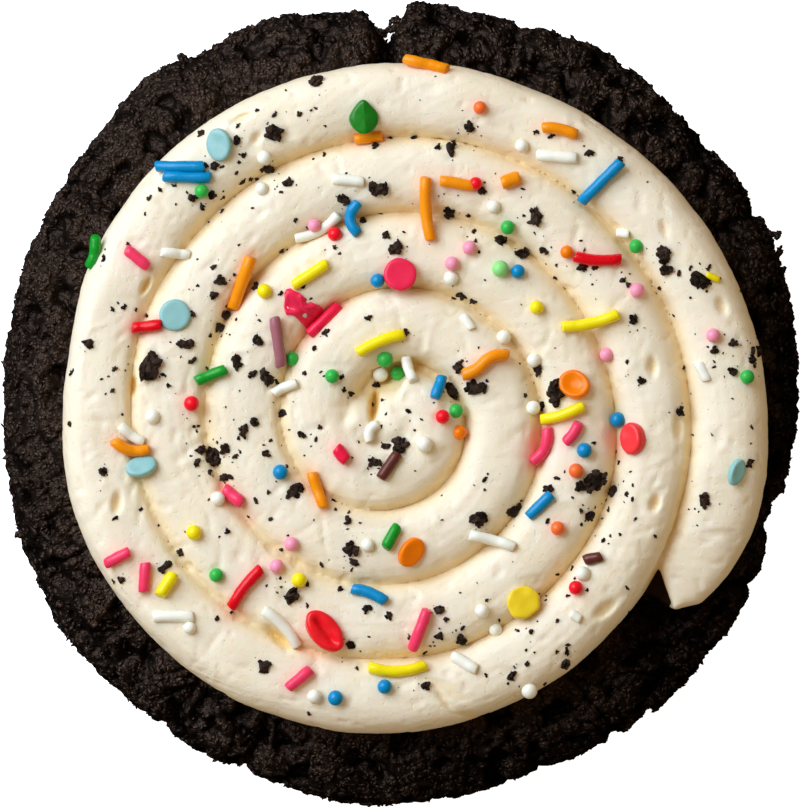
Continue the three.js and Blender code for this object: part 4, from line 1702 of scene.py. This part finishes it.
    def add_balls(self, pile: Pile, shape: Shape, draw: random.Random) -> None:
        """Sets each ball on the cream.

        Args:
            pile: Where they are added.
            shape: A ball of diameter 1.
            draw: The random draw.
        """
        base, faces = shape
        turns = np.arange(0.0, 6.2, 0.785)
        for ball in self.balls:
            lean = self.ground.lean(ball.x, ball.y)
            spin = Matrix.Rotation(draw.uniform(0.0, math.tau), 3, "Z")
            turned = base @ np.array(spin).T
            rise = 0.5 * ball.size - ball.sink
            foot = self.ball_foot * ball.size
            ring = [(foot * math.cos(turn), foot * math.sin(turn)) for turn in turns]
            around = max(self.top(ball.x + x, ball.y + y) for x, y in ring)
            place = np.array([ball.x, ball.y, max(self.top(ball.x, ball.y), around - foot)])
            place += np.array(lean) * np.array(self.ball_lean) * rise
            pile.add(turned * ball.size + place, faces, ball.coat.shade)

    def add_discs(self, pile: Pile, shape: Shape) -> None:
        """Leans each disc on the cream, creased or crumpled where it is.

        Args:
            pile: Where they are added.
            shape: A disc of diameter and thickness 1.
        """
        base, faces = shape
        for order, disc in enumerate(self.discs):
            points = self.crumpled(disc, base, order)
            for turn, axis in ((disc.turn - disc.way, "Z"), (disc.lean, "Y"), (disc.way, "Z")):
                points @= np.array(Matrix.Rotation(math.radians(turn), 3, axis)).T
            points += np.array([disc.x, disc.y, 0.0])
            under = np.array([self.top(x, y) for x, y in points[:, :2]])
            face = base[:, 2] > 0.2
            points[:, 2] += under if disc.corners else float(np.max(under[face] - points[face, 2]))
            points[:, 2] += disc.shown
            pile.add(points, faces, disc.coat.shade)

    def crumpled(self, disc: Disc, base: np.ndarray, order: int) -> np.ndarray:
        """Sizes a disc, then folds, dents and crumples it.

        Args:
            disc: The disc.
            base: Points of a disc of diameter and thickness 1.
            order: Its place in the list, which sets its crumples apart.

        Returns:
            Its points around its middle.
        """
        points = base * np.array([disc.size, disc.size * disc.short, disc.thick])
        radius = np.hypot(base[:, 0], base[:, 1])
        if disc.corners:
            points[:, :2] *= (2.0 * self.reach(disc, base) / disc.size)[:, None]
        points[:, 1] *= 1.0 - disc.peak * smooth(0.0, 0.5, base[:, 0])
        points[:, 2] -= disc.fold * np.abs(points[:, 1])
        dent = disc.crease * np.exp(-((points[:, 1] / (0.07 * disc.size)) ** 2))
        dent *= 1.0 - smooth(0.22, 0.42, np.abs(base[:, 0]))
        dent += disc.dish * np.exp(-((radius / 0.3) ** 4))
        dent += disc.ridges * np.abs(waves(points * FLAT, 1.1, order + 0.5))
        points[:, 2] -= dent * (base[:, 2] > 0.0)
        crumples = np.stack([waves(points, 1.5, order * 7.0 + shift) for shift in (0.3, 2.9, 5.1)], axis=1)
        return points + disc.crumple * crumples * 2.0

    @staticmethod
    def reach(disc: Disc, base: np.ndarray) -> np.ndarray:
        """Distance from the disc's middle to its cornered outline, in the direction of each point."""
        way = base[:, :2] / np.maximum(np.hypot(base[:, 0], base[:, 1]), 1e-9)[:, None]
        found = np.zeros(len(base))
        for first, second in zip(disc.corners, disc.corners[1:] + disc.corners[:1]):
            side = (second[0] - first[0], second[1] - first[1])
            cross = way[:, 0] * side[1] - way[:, 1] * side[0]
            cross = np.where(np.abs(cross) < 1e-9, 1e-9, cross)
            away = (first[0] * side[1] - first[1] * side[0]) / cross
            share = (first[0] * way[:, 1] - first[1] * way[:, 0]) / cross
            found = np.where((share >= 0.0) & (share <= 1.0), np.maximum(found, away), found)
        return found

    def stains(self) -> list[Stain]:
        """The colour that has soaked out of the sprinkles."""
        found = []
        for rod in self.rods:
            strength = BLEED.get(rod.coat, 0.0) * rod.bleed
            found.append(Stain((rod.x1, rod.y1), (rod.x2, rod.y2), rod.coat, 1.5, strength))
        for ball in self.balls:
            place = (ball.x, ball.y)
            found.append(Stain(place, place, ball.coat, 1.6, BLEED.get(ball.coat, 0.0)))
        for disc in self.discs:
            place = (disc.x, disc.y)
            found.append(Stain(place, place, disc.coat, 0.5 * disc.size + 0.9, BLEED.get(disc.coat, 0.0)))
        found += SOAKED
        return [stain for stain in found if stain.strength > 0.0]

    def build(self) -> None:
        """Builds the three kinds, each as one piece, and dresses them."""
        draw = random.Random(SEED)
        material = self.finish.material("sprinkle_sugar")
        piles = {"sugar_rods": Pile(), "sugar_balls": Pile(), "sugar_discs": Pile()}
        self.add_rods(piles["sugar_rods"], self.rod_shape(), draw)
        self.add_balls(piles["sugar_balls"], self.ball_shape(), draw)
        self.add_discs(piles["sugar_discs"], self.disc_shape())
        for name, pile in piles.items():
            Workbench.dress(pile.piece(name, "coat"), material, "sprinkle_sugar")


@dataclass(frozen=True)
class Crumb:
    """A crumb: place in plan, length, width, the way it points and its height where no cream is under it."""

    x: float
    y: float
    long: float
    wide: float
    turn: float = 0.0
    rest: float = 0.0


CRUMBS: tuple[Crumb, ...] = tuple(
    Crumb(*row)
    for row in (
        (-12.1, 45.9, 2.4, 1.9, 100), (-18.1, 38.6, 2.9, 2.1, -35), (9.9, 39.5, 1.6, 1.5),
        (7.3, 36.4, 2.3, 1.4, 100), (-19.0, 33.4, 2.3, 1.4, -20), (-16.1, 31.5, 1.5, 1.3),
        (-3.0, 30.5, 2.6, 2.2, 20), (-8.0, 29.1, 2.4, 1.4, -20), (-5.3, 26.1, 1.3, 1.1),
        (7.0, 27.4, 2.4, 1.6, 110), (11.7, 30.5, 1.3, 1.2), (-0.6, 22.1, 2.4, 1.7, 60),
        (14.3, 23.4, 1.8, 1.6), (17.4, 21.4, 2.6, 1.6, 8), (19.3, 26.5, 2.9, 1.6, 95),
        (27.0, 35.8, 1.6, 0.9, -5), (37.7, 21.4, 3.1, 1.9, 100), (37.9, 19.1, 2.3, 1.3),
        (42.7, 17.6, 2.9, 2.2, -15), (26.1, 19.4, 1.9, 1.1), (-23.3, 37.8, 1.4, 1.3),
        (-26.4, 33.9, 1.4, 1.2), (-29.7, 29.4, 1.3, 1.2), (-26.9, 29.8, 1.4, 1.2),
        (-35.6, 5.1, 3.8, 3.1, -60), (-44.4, 8.6, 1.6, 1.4), (-25.6, 17.5, 1.7, 1.5),
        (-26.7, 15.5, 1.4, 1.2), (-24.9, 12.8, 1.7, 1.4), (-25.7, 10.8, 2.0, 1.6), (-20.3, 8.9, 1.6, 1.4),
        (-23.4, 5.9, 2.3, 1.5, 100), (-31.3, 8.5, 1.4, 1.3), (-29.9, 8.5, 1.9, 1.4, 80),
        (-19.0, 3.6, 2.6, 1.8, -30), (-22.3, -3.8, 2.0, 1.4, 80), (-20.9, -2.5, 1.5, 1.3),
        (-26.7, -7.5, 2.9, 2.6), (-28.4, -6.6, 1.7, 1.4), (-24.9, -6.5, 1.7, 1.4), (-24.9, -10.5, 1.6, 1.3),
        (-42.4, -9.6, 1.4, 1.2), (-16.9, -1.4, 1.5, 1.2), (-15.1, -12.4, 2.9, 1.9, 40),
        (-14.1, -4.4, 1.3, 1.1), (0.0, -5.8, 2.8, 2.0, 110), (-3.6, -8.4, 1.9, 1.6), (-2.0, -6.1, 1.4, 1.1),
        (0.6, 10.1, 1.3, 1.2), (-10.7, 10.1, 1.4, 1.0), (8.7, 15.5, 1.8, 1.2), (8.3, 5.1, 1.7, 1.4),
        (7.4, 1.9, 2.5, 2.3), (10.7, 2.2, 3.0, 2.0), (11.1, -16.6, 2.6, 2.1), (16.1, -15.4, 2.9, 1.7, 10),
        (22.3, 1.4, 3.6, 2.4, 75), (19.6, 4.8, 1.7, 1.4), (20.3, -0.2, 1.6, 1.3),
        (27.9, -11.2, 3.4, 2.9, 30), (26.0, -11.8, 1.7, 1.5), (30.4, -12.6, 2.0, 1.5, 90),
        (21.1, -12.1, 1.6, 1.3), (27.0, -15.9, 1.7, 1.4), (33.3, 11.9, 1.6, 1.2, 100),
        (34.4, 3.2, 1.4, 1.1), (39.9, -1.2, 1.5, 1.3), (47.6, 8.5, 1.6, 1.2), (47.6, 4.5, 1.6, 1.2),
        (45.0, 7.6, 1.3, 1.1), (50.3, 6.2, 1.4, 1.2), (43.4, -13.8, 2.3, 1.5, 100),
        (49.9, -8.5, 1.6, 0.9, 70), (-7.1, -20.7, 2.8, 1.7), (-6.6, -22.6, 1.4, 1.2),
        (-15.4, -27.3, 2.4, 2.0, 60), (-4.6, -29.1, 1.4, 1.2), (5.6, -29.5, 1.6, 1.3),
        (8.7, -33.7, 2.2, 1.4, 110), (5.6, -33.2, 1.4, 1.2), (3.6, -40.3, 1.5, 1.3),
        (-19.4, -37.6, 2.3, 1.7, 100), (-7.1, -34.4, 1.5, 1.2), (15.9, -38.9, 1.7, 1.2, 60),
        (23.6, -37.1, 1.6, 1.3), (-33.4, -23.2, 2.4, 1.2, 30), (-39.7, -25.2, 1.5, 1.0),
        (-31.4, -21.2, 1.5, 1.0), (-28.4, 38.6, 1.2, 1.1), (51.2, 7.4, 1.7, 1.3, 60, 18.0),
        (52.4, 6.7, 2.2, 1.6, 80, 17.0), (53.2, 5.3, 1.7, 1.3, 100, 16.0),
    )
)

# Specks: place in plan and size
GRAINS: tuple[tuple[float, float, float], ...] = (
    (-16.3, 44.7, 0.5), (-20.4, 41.8, 0.9), (-17.9, 41.2, 0.9), (-23.2, 39.6, 1.0), (-22.4, 35.5, 1.2),
    (-23.0, 34.4, 0.7), (-27.7, 34.1, 1.1), (-25.4, 33.8, 0.8), (-23.4, 32.8, 0.8), (-22.5, 31.6, 1.2),
    (-21.4, 32.0, 0.8), (-20.4, 32.0, 0.9), (-25.2, 29.4, 0.9), (-27.7, 28.5, 0.3), (-28.3, 28.1, 1.2),
    (-25.4, 27.5, 1.0), (-17.0, 30.2, 0.8), (-17.3, 32.8, 0.3), (-14.9, 26.2, 0.8), (-21.1, 27.9, 0.5),
    (-27.3, 25.9, 0.4), (-23.0, 22.6, 0.6), (-32.0, 28.4, 0.5), (-32.3, 31.1, 0.9), (-34.3, 30.5, 0.8),
    (-35.8, 29.3, 1.1), (-36.4, 27.0, 0.6), (-30.4, 30.1, 0.6), (-38.8, 22.8, 0.9), (-42.1, 22.0, 0.5),
    (-42.3, 20.6, 1.0), (-42.7, 19.6, 0.3), (-28.9, 20.6, 0.4), (-26.6, 19.5, 1.0), (-25.9, 20.5, 0.3),
    (-23.6, 18.4, 0.6), (-24.3, 17.6, 0.4), (-28.8, 16.8, 0.7), (-29.5, 16.2, 0.3), (-30.1, 16.3, 0.3),
    (-20.6, 16.7, 1.5), (-17.0, 15.7, 0.8), (-16.8, 21.9, 0.9), (-16.1, 22.0, 0.6), (-27.8, 35.3, 0.3),
    (-23.6, 29.5, 0.3), (-18.9, 39.9, 0.4), (-11.5, 44.0, 0.3), (-14.3, 41.2, 1.0), (-13.2, 40.4, 0.3),
    (-12.7, 41.8, 0.5), (-12.0, 42.1, 0.7), (-10.7, 39.6, 0.6), (-10.8, 35.5, 0.9), (-12.4, 34.9, 0.5),
    (-3.4, 36.9, 1.2), (-1.4, 37.9, 0.9), (1.9, 38.0, 1.1), (5.4, 36.6, 1.1), (7.6, 37.4, 0.9),
    (8.3, 38.6, 0.4), (11.1, 39.5, 0.4), (8.9, 41.8, 0.3), (5.1, 46.7, 0.4), (-7.7, 32.8, 0.5),
    (-11.6, 30.8, 0.3), (-2.8, 27.1, 0.8), (-2.0, 23.9, 1.3), (0.5, 24.5, 0.6), (1.8, 28.5, 0.3),
    (5.5, 29.6, 0.3), (6.3, 29.9, 0.3), (8.3, 29.7, 0.4), (9.8, 26.8, 0.8), (10.5, 24.6, 0.9),
    (9.6, 23.8, 0.4), (10.8, 23.2, 0.8), (11.3, 21.6, 0.6), (10.5, 36.1, 0.3), (7.5, 34.7, 0.3),
    (13.6, 32.8, 0.3), (17.5, 30.6, 0.7), (17.3, 29.4, 0.3), (17.7, 26.8, 0.7), (-13.3, 25.1, 0.6),
    (-9.3, 25.0, 0.6), (-10.7, 21.9, 0.4), (-9.3, 22.2, 0.9), (-8.6, 21.4, 0.6), (-13.8, 16.6, 0.7),
    (-12.7, 15.0, 0.6), (12.1, 17.6, 0.4), (7.7, 15.0, 0.7), (10.4, 14.6, 1.1), (19.4, 38.8, 1.0),
    (21.5, 38.1, 1.0), (26.9, 41.6, 1.4), (31.5, 35.0, 1.1), (33.3, 36.6, 1.1), (35.3, 31.6, 0.4),
    (24.8, 30.3, 0.8), (25.4, 29.7, 0.4), (24.8, 28.7, 0.3), (19.2, 24.3, 0.6), (20.5, 21.9, 1.3),
    (21.6, 22.3, 0.4), (22.3, 19.8, 0.6), (23.8, 19.6, 0.3), (22.1, 17.9, 0.8), (25.8, 23.2, 0.5),
    (26.3, 21.9, 0.6), (27.9, 19.4, 1.1), (31.6, 18.7, 0.4), (32.8, 18.5, 0.4), (31.7, 17.6, 1.1),
    (32.5, 16.9, 0.9), (37.1, 16.5, 0.9), (36.6, 15.7, 0.4), (39.8, 18.6, 1.0), (35.2, 22.1, 0.3),
    (41.4, 19.4, 0.8), (42.8, 19.9, 0.5), (44.1, 19.4, 1.2), (45.7, 17.9, 0.5), (44.3, 17.1, 0.5),
    (43.8, 16.0, 0.5), (41.4, 15.1, 0.5), (38.5, 12.7, 0.4), (39.1, 12.5, 0.7), (48.6, 16.0, 0.6),
    (42.1, 9.9, 0.3), (17.3, 14.1, 0.4), (-40.2, 14.3, 0.5), (-39.5, 13.7, 1.0), (-41.0, 13.4, 1.0),
    (-37.7, 13.3, 0.8), (-36.1, 12.5, 0.9), (-29.5, 12.7, 1.1), (-27.1, 9.7, 0.7), (-24.8, 13.9, 0.6),
    (-23.4, 12.0, 0.6), (-25.5, 9.6, 0.5), (-20.1, 11.9, 0.6), (-20.5, 12.6, 0.3), (-31.3, 6.6, 0.4),
    (-29.6, 6.1, 1.2), (-27.6, 5.1, 0.7), (-33.8, 4.1, 0.9), (-33.1, 2.6, 0.8), (-33.2, 6.5, 0.3),
    (-40.8, 4.9, 1.1), (-39.2, 4.7, 0.4), (-38.8, 5.6, 0.4), (-41.6, 3.9, 0.4), (-42.6, 3.5, 0.5),
    (-41.1, 1.8, 0.9), (-42.0, 1.4, 0.5), (-46.8, 4.5, 1.1), (-45.0, 7.5, 0.3), (-47.2, -2.8, 1.0),
    (-48.4, -4.3, 0.6), (-39.6, -1.6, 0.5), (-30.4, -2.1, 0.3), (-29.4, -3.3, 0.6), (-28.8, -3.2, 0.6),
    (-29.0, -4.0, 0.5), (-27.1, -2.5, 0.4), (-29.8, -7.5, 0.6), (-28.9, -8.4, 1.3), (-27.1, -9.6, 1.0),
    (-28.6, -10.3, 0.4), (-26.7, -10.3, 0.4), (-26.1, -5.5, 0.5), (-23.5, -7.5, 0.9), (-22.8, -6.9, 0.7),
    (-23.9, -8.4, 0.4), (-23.1, -4.9, 0.7), (-19.1, -7.1, 1.3), (-19.5, -5.9, 0.5), (-18.5, -5.3, 0.7),
    (-16.9, -6.0, 0.3), (-16.1, -9.0, 0.7), (-18.8, -12.7, 0.7), (-20.6, -13.9, 0.9), (-21.6, -16.2, 0.7),
    (-18.4, -16.6, 0.8), (-27.3, -13.7, 0.5), (-25.0, -11.3, 0.4), (-37.0, -15.1, 0.8), (-40.6, -16.3, 1.0),
    (-34.5, -17.4, 0.5), (-41.8, -10.2, 0.4), (-20.9, 4.2, 1.5), (-17.6, 3.1, 1.0), (-4.5, 12.2, 1.1),
    (-12.3, 7.9, 0.9), (-13.6, 4.4, 0.8), (-11.3, 4.5, 0.6), (-10.9, 3.9, 0.5), (-8.3, 3.8, 0.9),
    (-8.0, 1.9, 0.8), (-7.1, 1.5, 1.1), (-7.4, 0.8, 0.4), (-3.4, 2.6, 1.5), (-2.5, 0.5, 0.8),
    (-3.9, -0.2, 0.9), (-2.0, -1.5, 0.5), (1.1, -1.0, 1.0), (1.4, -2.5, 0.4), (3.1, -2.3, 0.5),
    (2.1, -3.8, 0.5), (-2.7, -3.3, 0.7), (4.8, 0.1, 0.4), (-11.5, -3.4, 0.9), (-12.7, -4.4, 0.4),
    (-12.0, -5.1, 0.9), (-12.7, -6.1, 0.4), (-5.7, -3.1, 0.3), (-5.9, -5.5, 0.5), (-6.8, -7.7, 0.5),
    (-4.6, -9.3, 0.5), (-4.1, -10.1, 0.4), (2.2, -9.6, 0.4), (6.0, -13.1, 0.4), (6.0, -16.6, 0.4),
    (12.1, -10.8, 1.0), (12.5, -10.0, 0.5), (10.6, -11.7, 0.4), (12.1, -12.3, 0.6), (17.3, -13.9, 0.6),
    (15.2, -17.5, 0.3), (11.2, 8.0, 0.4), (8.7, 5.9, 0.8), (9.5, 6.0, 0.3), (12.4, 3.2, 0.6),
    (17.1, 5.7, 0.5), (17.9, 1.2, 0.8), (-9.5, -13.8, 0.8), (-9.2, -15.1, 0.7), (-7.3, -15.5, 0.7),
    (-7.4, -16.7, 1.3), (-5.7, -17.0, 0.5), (-12.3, -16.6, 0.4), (22.1, 7.9, 0.4), (19.1, 3.0, 0.5),
    (32.4, 6.0, 0.7), (40.5, 5.1, 0.8), (43.9, 8.1, 0.5), (44.8, 6.0, 0.6), (44.8, 5.2, 0.6),
    (46.1, 7.2, 0.4), (46.3, 3.8, 0.4), (47.4, 0.7, 0.5), (50.4, 7.6, 1.3), (50.6, 5.4, 0.9),
    (50.2, -3.4, 0.8), (41.8, -4.5, 0.6), (44.5, -4.5, 0.5), (27.6, -5.6, 0.8), (30.9, -6.9, 0.6),
    (31.3, -8.4, 0.8), (32.9, -9.7, 0.5), (31.9, -11.1, 0.4), (33.2, -11.7, 0.6), (32.3, -12.9, 0.9),
    (33.2, -13.6, 0.8), (32.0, -14.1, 0.4), (23.5, -9.7, 0.5), (22.4, -10.7, 1.1), (25.0, -12.3, 0.5),
    (24.6, -13.4, 0.6), (26.1, -14.5, 0.4), (25.8, -15.3, 0.9), (27.9, -14.8, 0.5), (29.8, -15.2, 0.9),
    (28.9, -16.4, 0.5), (25.9, -17.2, 0.6), (21.0, -16.8, 1.0), (33.6, -16.5, 0.7), (36.4, -18.9, 0.7),
    (31.4, -18.7, 0.6), (30.0, -18.9, 0.6), (29.0, -19.6, 0.9), (29.8, -20.0, 0.4), (27.9, -18.9, 0.3),
    (24.6, -23.5, 0.9), (42.4, -17.4, 0.4), (41.7, -11.1, 0.3), (-30.7, -18.3, 0.4), (-24.6, -18.3, 1.0),
    (-25.8, -19.0, 0.5), (-16.0, -18.8, 0.5), (-16.9, -20.8, 0.8), (-17.1, -24.9, 0.6), (-19.0, -26.0, 0.6),
    (-17.0, -26.2, 0.5), (-17.5, -27.0, 0.5), (-13.2, -25.8, 1.0), (-26.1, -30.7, 0.9), (-24.1, -29.8, 0.7),
    (-13.2, -28.8, 0.8), (-40.9, -25.4, 0.7), (-13.0, -44.3, 0.8), (-7.5, -17.9, 0.5), (-11.2, -23.0, 0.9),
    (-10.1, -22.3, 0.3), (-6.9, -23.7, 0.7), (-7.9, -21.8, 0.4), (-8.5, -26.5, 1.1), (-1.5, -30.2, 1.2),
    (-4.9, -30.0, 0.5), (-4.4, -33.3, 0.6), (-6.1, -37.8, 0.7), (1.3, -33.4, 0.7), (4.3, -34.6, 0.5),
    (4.9, -34.6, 0.4), (3.5, -35.6, 0.9), (6.6, -30.8, 1.2), (5.6, -32.1, 0.4), (8.9, -32.0, 0.9),
    (8.0, -32.4, 0.4), (8.6, -27.0, 0.4), (11.0, -25.6, 0.4), (12.4, -28.1, 0.7), (14.2, -30.9, 0.7),
    (16.1, -22.6, 0.3), (16.8, -32.4, 0.8), (18.0, -32.1, 0.4), (18.6, -32.6, 1.0), (18.0, -35.2, 0.6),
    (19.2, -35.5, 0.4), (19.6, -31.1, 0.4), (18.1, -37.1, 1.1), (16.3, -37.6, 0.5), (12.3, -38.8, 0.7),
    (17.0, -40.4, 0.4), (15.4, -40.0, 0.6), (19.8, -27.2, 0.6), (22.5, -24.4, 0.8), (24.9, -25.0, 0.6),
    (26.7, -26.6, 0.7), (24.0, -27.4, 0.8), (20.9, -27.5, 0.5), (20.8, -28.1, 0.6), (32.4, -26.3, 0.8),
    (22.5, -30.9, 0.7), (23.9, -34.5, 0.8), (22.4, -35.5, 0.8), (23.8, -35.4, 1.1), (20.7, -40.0, 0.8),
    (32.6, -29.7, 0.6),
)


@dataclass
class Crumbs:
    """Dark cookie crumbs strewn on the cream: the larger ones one by one, and specks around them."""

    ground: Ground
    finish: CookieFinish = CookieFinish(
        dark=(0.0050, 0.0030, 0.0018, 1.0), light=(0.0400, 0.0235, 0.0145, 1.0), sheen=0.22
    )
    large: tuple[Crumb, ...] = CRUMBS
    grains: tuple[tuple[float, float, float], ...] = GRAINS
    specks_each: int = 3
    specks_loose: int = 40
    specks_reach: float = 47.0
    upright: float = 0.3
    ragged: Range = (0.45, 1.5)
    tones: Range = (0.2, 0.9)

    def lump(self, detail: int) -> Shape:
        """Models one round lump of diameter 1."""
        Workbench.clear()
        bpy.ops.mesh.primitive_ico_sphere_add(subdivisions=detail, radius=0.5)
        return Workbench.template(Workbench.added("lump"))

    @staticmethod
    def bits(crumb: Crumb, draw: random.Random) -> list[tuple[np.ndarray, np.ndarray]]:
        """The core of a crumb and the smaller bits stuck to it.

        Args:
            crumb: The crumb.
            draw: The random draw.

        Returns:
            The place of each from the crumb's middle, and its length, width and height.
        """
        found = [(np.zeros(3), np.array([0.8 * crumb.long, 0.8 * crumb.wide, 0.6 * crumb.wide]))]
        for _ in range(round(3.0 * crumb.long)):
            turn = draw.uniform(0.0, math.tau)
            away = draw.uniform(0.25, 0.44)
            plan = (away * crumb.long * math.cos(turn), away * crumb.wide * math.sin(turn))
            size = crumb.wide * draw.uniform(0.28, 0.5)
            place = np.array([plan[0], plan[1], crumb.wide * draw.uniform(-0.05, 0.2)])
            found.append((place, size * np.array([draw.uniform(1.0, 1.8), 1.0, 0.75])))
        return found

    def set_down(self, pile: Pile, shape: Shape, crumb: Crumb, draw: random.Random) -> None:
        """Breaks copies of the lump into a crumb of the right size and lays it on the cream.

        Args:
            pile: Where it is added.
            shape: The lump.
            crumb: Its place and size.
            draw: The random draw.
        """
        base, faces = shape
        height = self.ground.height(crumb.x, crumb.y)
        if height is None:
            if crumb.rest == 0.0:
                return
            height = crumb.rest
        lean = self.ground.lean(crumb.x, crumb.y).lerp(UP, self.upright)
        tilt = np.array(UP.rotation_difference(lean).to_matrix())
        spin = np.array(Matrix.Rotation(math.radians(crumb.turn), 3, "Z"))
        place = np.array([crumb.x, crumb.y, height + 0.1 * crumb.wide])
        for order, (offset, size) in enumerate(self.bits(crumb, draw)):
            shift = draw.uniform(0.0, 90.0)
            broken = 1.0 + 0.6 * waves(base, 0.45, shift) + 0.45 * waves(base, 0.17, shift + 7.0)
            points = base * np.clip(broken, *self.ragged)[:, None] * size
            if order > 0:
                points = points @ np.array(Matrix.Rotation(draw.uniform(0.0, math.tau), 3, "Z")).T
            points = (points + offset) @ spin.T @ tilt.T
            pile.add(points + place, faces, (draw.uniform(*self.tones),) * 3 + (1.0,))

    @staticmethod
    def speck(x: float, y: float, size: float, draw: random.Random) -> Crumb:
        """One speck of dust."""
        return Crumb(x, y, size, size * draw.uniform(0.6, 1.0), draw.uniform(0, 180))

    def specks(self, draw: random.Random) -> list[Crumb]:
        """Dust: a few specks around each larger crumb, and some on their own."""
        found = []
        for crumb in self.large:
            for _ in range(draw.randint(2, self.specks_each + round(crumb.long))):
                away = 0.45 * crumb.long + abs(draw.gauss(0.0, 1.3))
                turn = draw.uniform(0.0, math.tau)
                size = 0.15 + 0.3 * draw.random() ** 2.0
                x = crumb.x + away * math.cos(turn)
                y = crumb.y + away * math.sin(turn)
                found.append(self.speck(x, y, size, draw))
        for _ in range(self.specks_loose):
            radius = self.specks_reach * math.sqrt(draw.random())
            turn = draw.uniform(0.0, math.tau)
            size = draw.uniform(0.15, 0.35)
            found.append(self.speck(radius * math.cos(turn) - 1.0, radius * math.sin(turn) - 1.0, size, draw))
        return found

    def build(self) -> None:
        """Builds all crumbs as one piece and dresses it."""
        draw = random.Random(SEED + 1)
        pile = Pile()
        coarse = self.lump(1)
        fine = self.lump(2)
        for crumb in self.large:
            self.set_down(pile, fine, crumb, draw)
        for x, y, size in self.grains:
            crumb = Crumb(x, y, 1.15 * size, draw.uniform(0.6, 0.95) * size, draw.uniform(0, 180))
            self.set_down(pile, coarse, crumb, draw)
        for crumb in self.specks(draw):
            self.set_down(pile, coarse, crumb, draw)
        piece = pile.piece("cookie_crumbs", "crag")
        Workbench.dress(piece, self.finish.material("dark_crumb"), "dark_cookie", False)


@dataclass
class Studio:
    """Floor, light and the camera that looks straight down. The light's size and distance are in metres."""

    floor_size: float = 1600.0
    floor_gap: float = 0.05
    lens: float = 1000.0
    sensor: float = 36.0
    clip: Range = (0.1, 20.0)
    per_mm: float = 7.0
    frame_high: float = 807.0
    look_height: float = 22.0
    key_power: float = 10.2
    key_size: float = 0.85
    key_away: float = 1.0
    key_colour: tuple[float, float, float] = (1.0, 1.23, 1.66)
    key_turn: float = 146.0
    key_rise: float = 40.5
    sky: float = 0.37
    sky_colour: Colour = (1.0, 0.8, 0.58, 1.0)

    def floor(self) -> None:
        """Lays the floor."""
        Workbench.clear()
        bpy.ops.mesh.primitive_plane_add(size=self.floor_size * MM, location=(0, 0, -self.floor_gap * MM))
        piece = Workbench.added("floor")
        piece.data.materials.append(FloorFinish().material("floor"))
        piece.visible_diffuse = False
        piece.visible_glossy = False

    def key(self) -> None:
        """Hangs a square soft light that looks at the cookie."""
        light = bpy.data.lights.new("key", "AREA")
        light.size = self.key_size
        light.energy = self.key_power
        light.color = self.key_colour
        made = bpy.data.objects.new("key", light)
        turn = math.radians(self.key_turn)
        rise = math.radians(self.key_rise)
        flat = math.cos(rise)
        way = Vector((flat * math.cos(turn), flat * math.sin(turn), math.sin(rise)))
        made.location = way * self.key_away
        made.rotation_euler = way.to_track_quat("Z", "Y").to_euler()
        bpy.context.scene.collection.objects.link(made)

    def camera(self) -> None:
        """Sets the camera straight above, at the photograph's scale."""
        data = bpy.data.cameras.new("camera")
        data.lens = self.lens
        data.sensor_width = self.sensor
        data.clip_start, data.clip_end = self.clip
        made = bpy.data.objects.new("camera", data)
        away = self.frame_high / self.per_mm * self.lens / data.sensor_width
        made.location = (0.0, 0.0, (away + self.look_height) * MM)
        bpy.context.scene.collection.objects.link(made)
        bpy.context.scene.camera = made

    def build(self) -> None:
        """Sets up the floor, the light, the sky and the camera."""
        self.floor()
        self.key()
        world = bpy.data.worlds.new("sky")
        world.use_nodes = True
        backdrop = world.node_tree.nodes["Background"]
        backdrop.inputs["Color"].default_value = self.sky_colour
        backdrop.inputs["Strength"].default_value = self.sky
        world.cycles_visibility.glossy = False
        bpy.context.scene.world = world
        bpy.context.scene.view_settings.view_transform = "Standard"
        self.camera()


def main() -> None:
    """Builds the cookie, the cream, the sprinkles, the crumbs and the studio."""
    logging.basicConfig(level=logging.INFO, format="%(name)s %(message)s")
    swirl = Swirl()
    cookie = CookieBase(swirl).build()
    Shreds(cookie, swirl).build()
    cream = CreamRope(swirl)
    rope = cream.build()
    ground = Ground.of(rope)
    sprinkles = Sprinkles(ground)
    sprinkles.build()
    cream.dress(rope, sprinkles.stains())
    Crumbs(ground).build()
    Studio().build()


if __name__ == "__main__":
    main()
